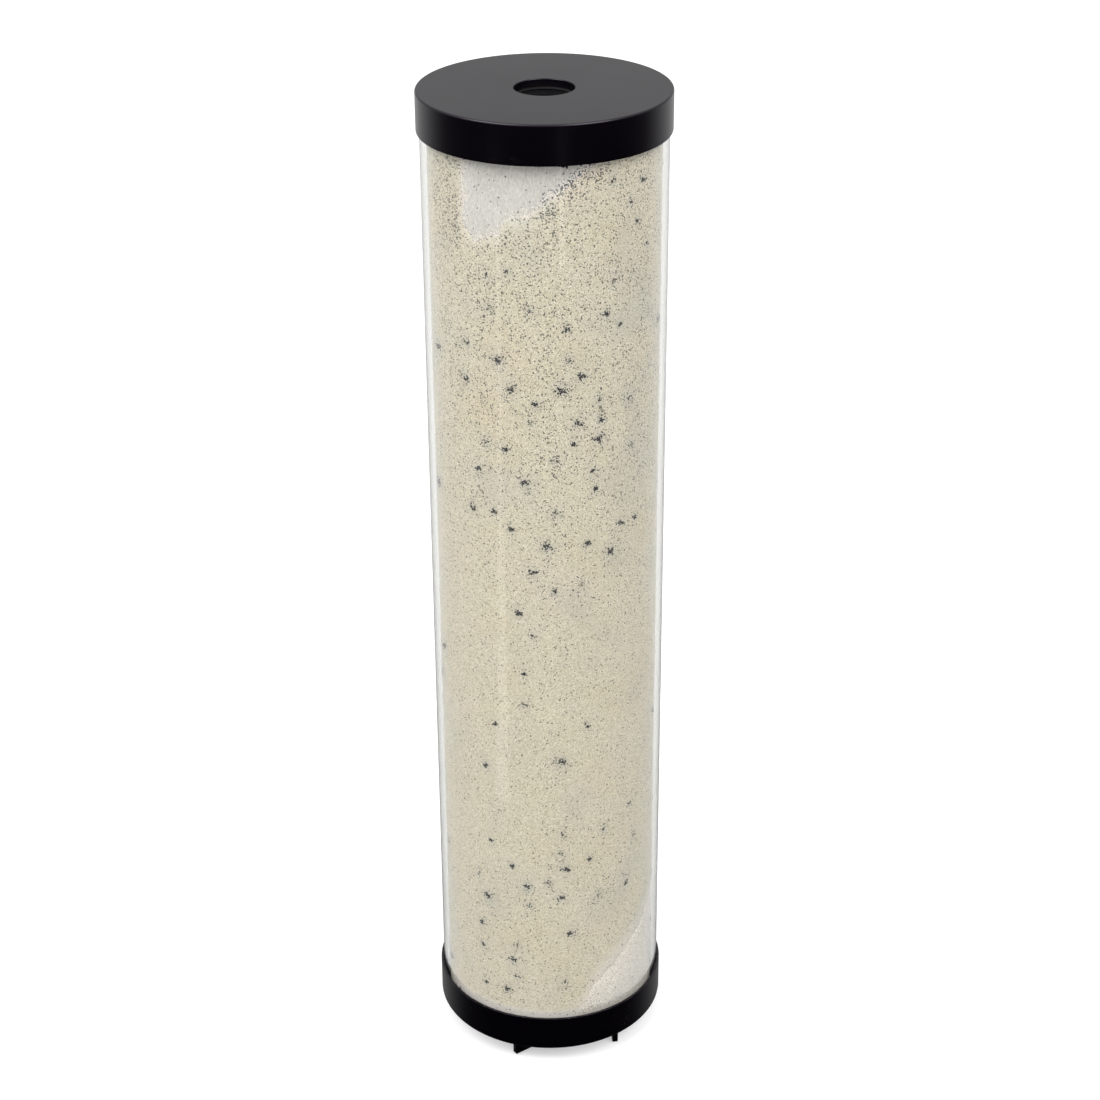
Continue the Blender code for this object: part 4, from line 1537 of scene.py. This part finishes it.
@dataclass
class FleecePad:
    """Fleece disc at one end of the bed, with one cut corner turned along the wall."""

    name: str
    node: str
    disc_low: float
    disc_high: float
    fold: TopFold | BottomFold
    turned_down: bool
    wall: float = FILL_RADIUS
    thickness: float = 0.8 * MM
    buried: float = 0.28 * MM
    buried_from: float = 0.9
    segments: int = 120
    columns: int = 130
    rows: int = 44
    soft_edge: float = 0.9 * MM
    face_rings: int = 5
    face_step: float = 8.0 * MM
    deepest_dip: float = 0.35 * MM
    ragged: float = 0.5 * MM
    unevenness: float = 0.1 * MM
    fill: float = 0.35

    def build(self, finishes: Finishes) -> bpy.types.Object:
        """Model, paint and dress the pad.

        Args:
            finishes: The cartridge's materials.

        Returns:
            The pad.
        """
        pad = join_pieces(f"{self.name}_disc", [self.make_disc(), self.make_corner()])
        smooth_by_angle(pad, 50.0)
        paint(pad, "caught", self.caught)
        paint(pad, "fines", self.fines)
        finish_piece(pad, Body.CARTRIDGE, Slot.FLEECE, finishes.fleece, self.node)
        return pad

    def make_disc(self) -> bpy.types.Object:
        """Model the round pad with soft edges and a slightly uneven face."""
        disc = new_cylinder(f"{self.name}_disc", self.wall, self.disc_low, self.disc_high, self.segments)
        with Bench(disc) as bench:
            for level in (self.disc_high, self.disc_low):
                bench.round_ring(self.wall, level, self.soft_edge, 3)
            for level, up in ((self.disc_high, True), (self.disc_low, False)):
                bench.pick_flat_face(level, up)
                for _ in range(self.face_rings):
                    bpy.ops.mesh.inset(thickness=self.face_step)
        for vertex in disc.data.vertices:
            inner = between(self.wall - vertex.co.xy.length, 1.5 * MM, 6 * MM)
            toward_middle = 1.0 if vertex.co.z < (self.disc_low + self.disc_high) / 2 else -1.0
            dip = abs(noise.noise(vertex.co * 60.0)) * self.deepest_dip
            vertex.co.z += toward_middle * dip * inner
        return disc

    def make_corner(self) -> bpy.types.Object:
        """Model the turned corner as a curved sheet with a ragged cut edge, then give it its thickness."""
        Bench.clear()
        bpy.ops.mesh.primitive_grid_add(x_subdivisions=self.columns, y_subdivisions=self.rows, size=1.0)
        corner = settle(bpy.context.object, f"{self.name}_corner")
        root = (self.disc_low + self.disc_high) / 2
        for vertex in corner.data.vertices:
            across, down = vertex.co.x + 0.5, vertex.co.y + 0.5
            azimuth = self.fold.start + (self.fold.stop - self.fold.start) * across
            ragged = noise.noise(Vector((azimuth * 70.0, 0.0, 5.0))) * self.ragged
            level = root + (self.fold.reach(azimuth) + ragged - root) * down
            thinned = self.buried * between(down, self.buried_from, 1.0)
            uneven = self.unevenness * noise.noise(Vector((azimuth * 25.0, 2.0, level * 450.0)))
            vertex.co = on_wall(azimuth, self.wall - self.unevenness - thinned + uneven, level)
        with Bench(corner) as bench:
            bench.pick_all()
            bpy.ops.mesh.normals_make_consistent(inside=False)
        if self.faces_in(corner):
            with Bench(corner) as bench:
                bench.pick_all()
                bpy.ops.mesh.flip_normals()
        apply_modifier(corner, "SOLIDIFY", thickness=self.thickness - self.unevenness, offset=-1.0)
        return corner

    def faces_in(self, corner: bpy.types.Object) -> bool:
        """Tell whether the sheet's faces point towards the axis."""
        face = corner.data.polygons[len(corner.data.polygons) // 2]
        return face.normal.xy.dot(face.center.xy) < 0.0

    def caught(self, point: Vector) -> float:
        """Share of beads caught in the fleece at a place."""
        inside = self.fold.inside(azimuth_of(point), point.z)
        at_wall = between(point.xy.length, self.wall - 2 * MM, self.wall - 1 * MM)
        if self.turned_down:
            return at_wall * (0.03 + 0.9 * between(inside, 5.0 * MM, -0.5 * MM))
        return at_wall * (0.5 + 0.5 * between(inside, 24.0 * MM, 3.0 * MM))

    def fines(self, point: Vector) -> float:
        """Share of dark fines in the fleece at a place."""
        azimuth = azimuth_of(point)
        inside = self.fold.inside(azimuth, point.z)
        if self.turned_down:
            return 0.02 + 0.95 * between(inside, 8 * MM, 0.0) * between(azimuth, -0.15, 0.2)
        return 0.08 * between(inside, 6 * MM, 0.0)


@dataclass
class BedSpring:
    """Conical wire spring that presses the plate down onto the bed."""

    box: Span = field(default_factory=lambda: Span.of("compression_spring"))
    wire: float = 1.0 * MM
    base_radius: float = 47.0 * MM
    tip_radius: float = 24.0 * MM
    turns: int = 3
    points_per_turn: int = 60
    squashed_share: float = 0.63

    def build(self, finishes: Finishes) -> bpy.types.Object:
        """Model and dress the spring.

        Args:
            finishes: The cartridge's materials.

        Returns:
            The spring.
        """
        low, high = self.box.low.z + self.wire, self.box.high.z - self.wire
        curve = bpy.data.curves.new("bed_spring", "CURVE")
        curve.dimensions = "3D"
        curve.bevel_depth = self.wire
        curve.bevel_resolution = 3
        curve.use_fill_caps = True
        spline = curve.splines.new("POLY")
        count = self.turns * self.points_per_turn + 1
        spline.points.add(count - 1)
        for index, point in enumerate(spline.points):
            share = index / (count - 1)
            radius = self.base_radius + (self.tip_radius - self.base_radius) * share
            angle = math.tau * self.turns * share
            level = low + (high - low) * between(share, 0.0, 1.0)
            point.co = (radius * math.cos(angle), radius * math.sin(angle), level, 1.0)
        spring = bpy.data.objects.new("bed_spring", curve)
        bpy.context.collection.objects.link(spring)
        Bench.pick_only(spring)
        bpy.ops.object.convert(target="MESH")
        spring = settle(bpy.context.object, "bed_spring")
        with Bench(spring) as bench:
            bench.tidy_normals()
        smooth_by_angle(spring, 60.0)
        finish_piece(spring, Body.CARTRIDGE, Slot.SPRING_STEEL, finishes.steel, "compression_spring")
        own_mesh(spring)
        return spring


@dataclass
class KeptParts:
    """CAD nodes whose shape stays, each with its finish."""

    def dress(self, finishes: Finishes) -> None:
        """Give every kept node its material."""
        choice = {
            "top_bond_ring": finishes.adhesive,
            "bottom_bond_ring": finishes.adhesive,
            "outlet_lip_seal": finishes.rubber,
            "plate_wiper_ring": finishes.rubber,
            "seal_retainer": finishes.black,
            "pressure_plate": finishes.inner,
            "support_plate": finishes.inner,
            "top_mesh_disc": finishes.mesh,
            "bottom_mesh_disc": finishes.mesh,
        }
        for name, material in choice.items():
            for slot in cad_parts[name].material_slots:
                slot.material = material
            LOG.info("%s: kept, dressed in %s", name, material.name)


# ---------------------------------------------------------------------------------------------------
# Studio
# ---------------------------------------------------------------------------------------------------


@dataclass(frozen=True)
class Softbox:
    """One soft lamp. It faces the cartridge, or lies on the floor and shines up."""

    name: str
    place: Place
    width: float
    height: float
    power: float
    lies: bool = False


@dataclass
class Studio:
    """Pale floor, soft lamps, surrounding light and the camera."""

    floor_size: float = 16.0
    backdrop: Colour = (1.0, 1.0, 1.0)
    horizon: Colour = (0.52, 0.52, 0.52)
    darkest: Colour = (0.0, 0.0, 0.0)
    floor_level: float = -0.3 * MM
    lit_middle: Place = (0.0, 0.0, 0.25)
    camera_place: Place = (0.001247, -1.04516, 0.79644)
    camera_pitch: float = math.radians(26.788)
    camera_roll: float = -0.00629
    lens: float = 78.33
    sensor: float = 36.0

    def softboxes(self) -> list[Softbox]:
        """The lamps: a key from the left, a fill from the right, one above, and two strips on the floor."""
        return [
            Softbox("key", (-2.2, -1.4, 3.1), 2.6, 2.6, 108.0),
            Softbox("fill", (2.0, -1.95, 3.1), 2.3, 2.3, 92.0),
            Softbox("above", (0.0, 0.2, 2.2), 1.6, 1.6, 4.0),
            Softbox("strip_left", (-0.58, -0.59, 0.012), 0.07, 1.1, 0.15, lies=True),
            Softbox("strip_right", (0.37, -1.37, 0.012), 0.1, 0.42, 0.1, lies=True),
        ]

    def build(self, finishes: Finishes) -> None:
        """Set up the whole studio."""
        bpy.context.scene.view_settings.view_transform = "Standard"
        self.lay_floor(finishes)
        self.surround()
        for softbox in self.softboxes():
            self.hang(softbox)
        self.set_camera()

    def lay_floor(self, finishes: Finishes) -> None:
        """Lay the floor, which glows a little, as a lit table does."""
        Bench.clear()
        bpy.ops.mesh.primitive_plane_add(size=self.floor_size, location=(0.0, 0.0, self.floor_level))
        floor = settle(bpy.context.object, "studio_floor")
        floor.data.materials.append(finishes.paper)
        floor.visible_glossy = False

    def surround(self) -> None:
        """Light from all round: a sky brighter overhead, and a ground darker in front and far below.

        The camera itself sees a plain backdrop.
        """
        world = bpy.data.worlds.new("studio_world")
        bpy.context.scene.world = world
        wiring = Wiring(world)
        split = wiring.add("ShaderNodeSeparateXYZ")
        wiring.link(wiring.coordinates.outputs["Generated"], split.inputs[0])
        back, up = split.outputs["Y"], split.outputs["Z"]
        above = wiring.ramp(wiring.share(up, 0.0, 1.0), [(0.0, 0.54), (0.4, 0.55), (0.7, 1.0), (1.0, 1.0)])
        ground = [(0.3, 0.006), (0.58, 0.1), (0.8, 0.72), (1.0, 0.85)]
        below = wiring.ramp(wiring.share(back, -1.0, 1.0), ground)
        depth = wiring.ramp(wiring.share(up, -0.5, -0.2), [(0.0, 0.35), (1.0, 1.0)])
        below = wiring.blend(depth, self.darkest, below)
        horizon = wiring.ramp(wiring.share(up, -0.16, 0.0), [(0.0, 0.0), (1.0, 1.0)])
        below = wiring.blend(horizon, below, self.horizon)
        level = wiring.blend(wiring.maths("GREATER_THAN", up, 0.0), below, above)
        seen = wiring.add("ShaderNodeLightPath").outputs["Is Camera Ray"]
        background = wiring.add("ShaderNodeBackground")
        wiring.link(wiring.blend(seen, level, self.backdrop), background.inputs["Color"])
        output = wiring.add("ShaderNodeOutputWorld")
        wiring.link(background.outputs[0], output.inputs["Surface"])

    def hang(self, softbox: Softbox) -> None:
        """Hang one lamp; no lamp shows itself in the picture."""
        light = bpy.data.lights.new(softbox.name, "AREA")
        light.shape = "RECTANGLE"
        light.size = softbox.width
        light.size_y = softbox.height
        light.energy = softbox.power
        lamp = bpy.data.objects.new(softbox.name, light)
        lamp.location = softbox.place
        if softbox.lies:
            lamp.rotation_euler = (math.pi, 0.0, math.atan2(softbox.place[0], -softbox.place[1]))
        else:
            look = Vector(self.lit_middle) - Vector(softbox.place)
            lamp.rotation_euler = look.to_track_quat("-Z", "Y").to_euler()
        lamp.visible_camera = False
        bpy.context.collection.objects.link(lamp)

    def set_camera(self) -> None:
        """Place the camera, which looks down at the front."""
        data = bpy.data.cameras.new("camera")
        data.lens = self.lens
        data.sensor_width = self.sensor
        camera = bpy.data.objects.new("camera", data)
        turn = Matrix.Rotation(math.pi / 2 - self.camera_pitch, 4, "X")
        roll = Matrix.Rotation(self.camera_roll, 4, "Z")
        camera.matrix_world = Matrix.Translation(self.camera_place) @ turn @ roll
        bpy.context.collection.objects.link(camera)
        bpy.context.scene.camera = camera


def build_pads(top_fold: TopFold, bottom_fold: BottomFold, finishes: Finishes) -> None:
    """Build both fleece pads.

    Args:
        top_fold: The top pad's corner.
        bottom_fold: The bottom pad's corner.
        finishes: The cartridge's materials.
    """
    top, low = Span.of("top_fleece_pad").high.z, Span.of("bottom_fleece_pad").low.z
    thin, thick = 3.0 * MM, 5.0 * MM
    FleecePad("top_fleece", "top_fleece_pad", top - thin, top, top_fold, True).build(finishes)
    deep = {"buried": 0.95 * MM, "buried_from": 0.78}
    pad = FleecePad("bottom_fleece", "bottom_fleece_pad", low, low + thick, bottom_fold, False, **deep)
    pad.build(finishes)


def main() -> None:
    """Build every piece in order."""
    logging.basicConfig(level=logging.INFO, format="%(name)s: %(message)s")
    finishes = Finishes()
    Studio().build(finishes)
    ClearTube().build(finishes)
    TopCap().build(finishes)
    BottomCap().build(finishes)
    BondFlash().build(finishes)
    bed = Span.of("resin_bed")
    top_fold = TopFold(bed.high.z, FILL_RADIUS)
    bottom_fold = BottomFold(bed.low.z, FILL_RADIUS)
    clusters = Clusters(bed).all()
    ResinBed(bed, top_fold, bottom_fold, clusters).build(finishes)
    DarkGranules(clusters, bed.radius + GRANULE_STAND).build(finishes)
    build_pads(top_fold, bottom_fold, finishes)
    BedSpring().build(finishes)
    KeptParts().dress(finishes)


if __name__ == "__main__":
    main()
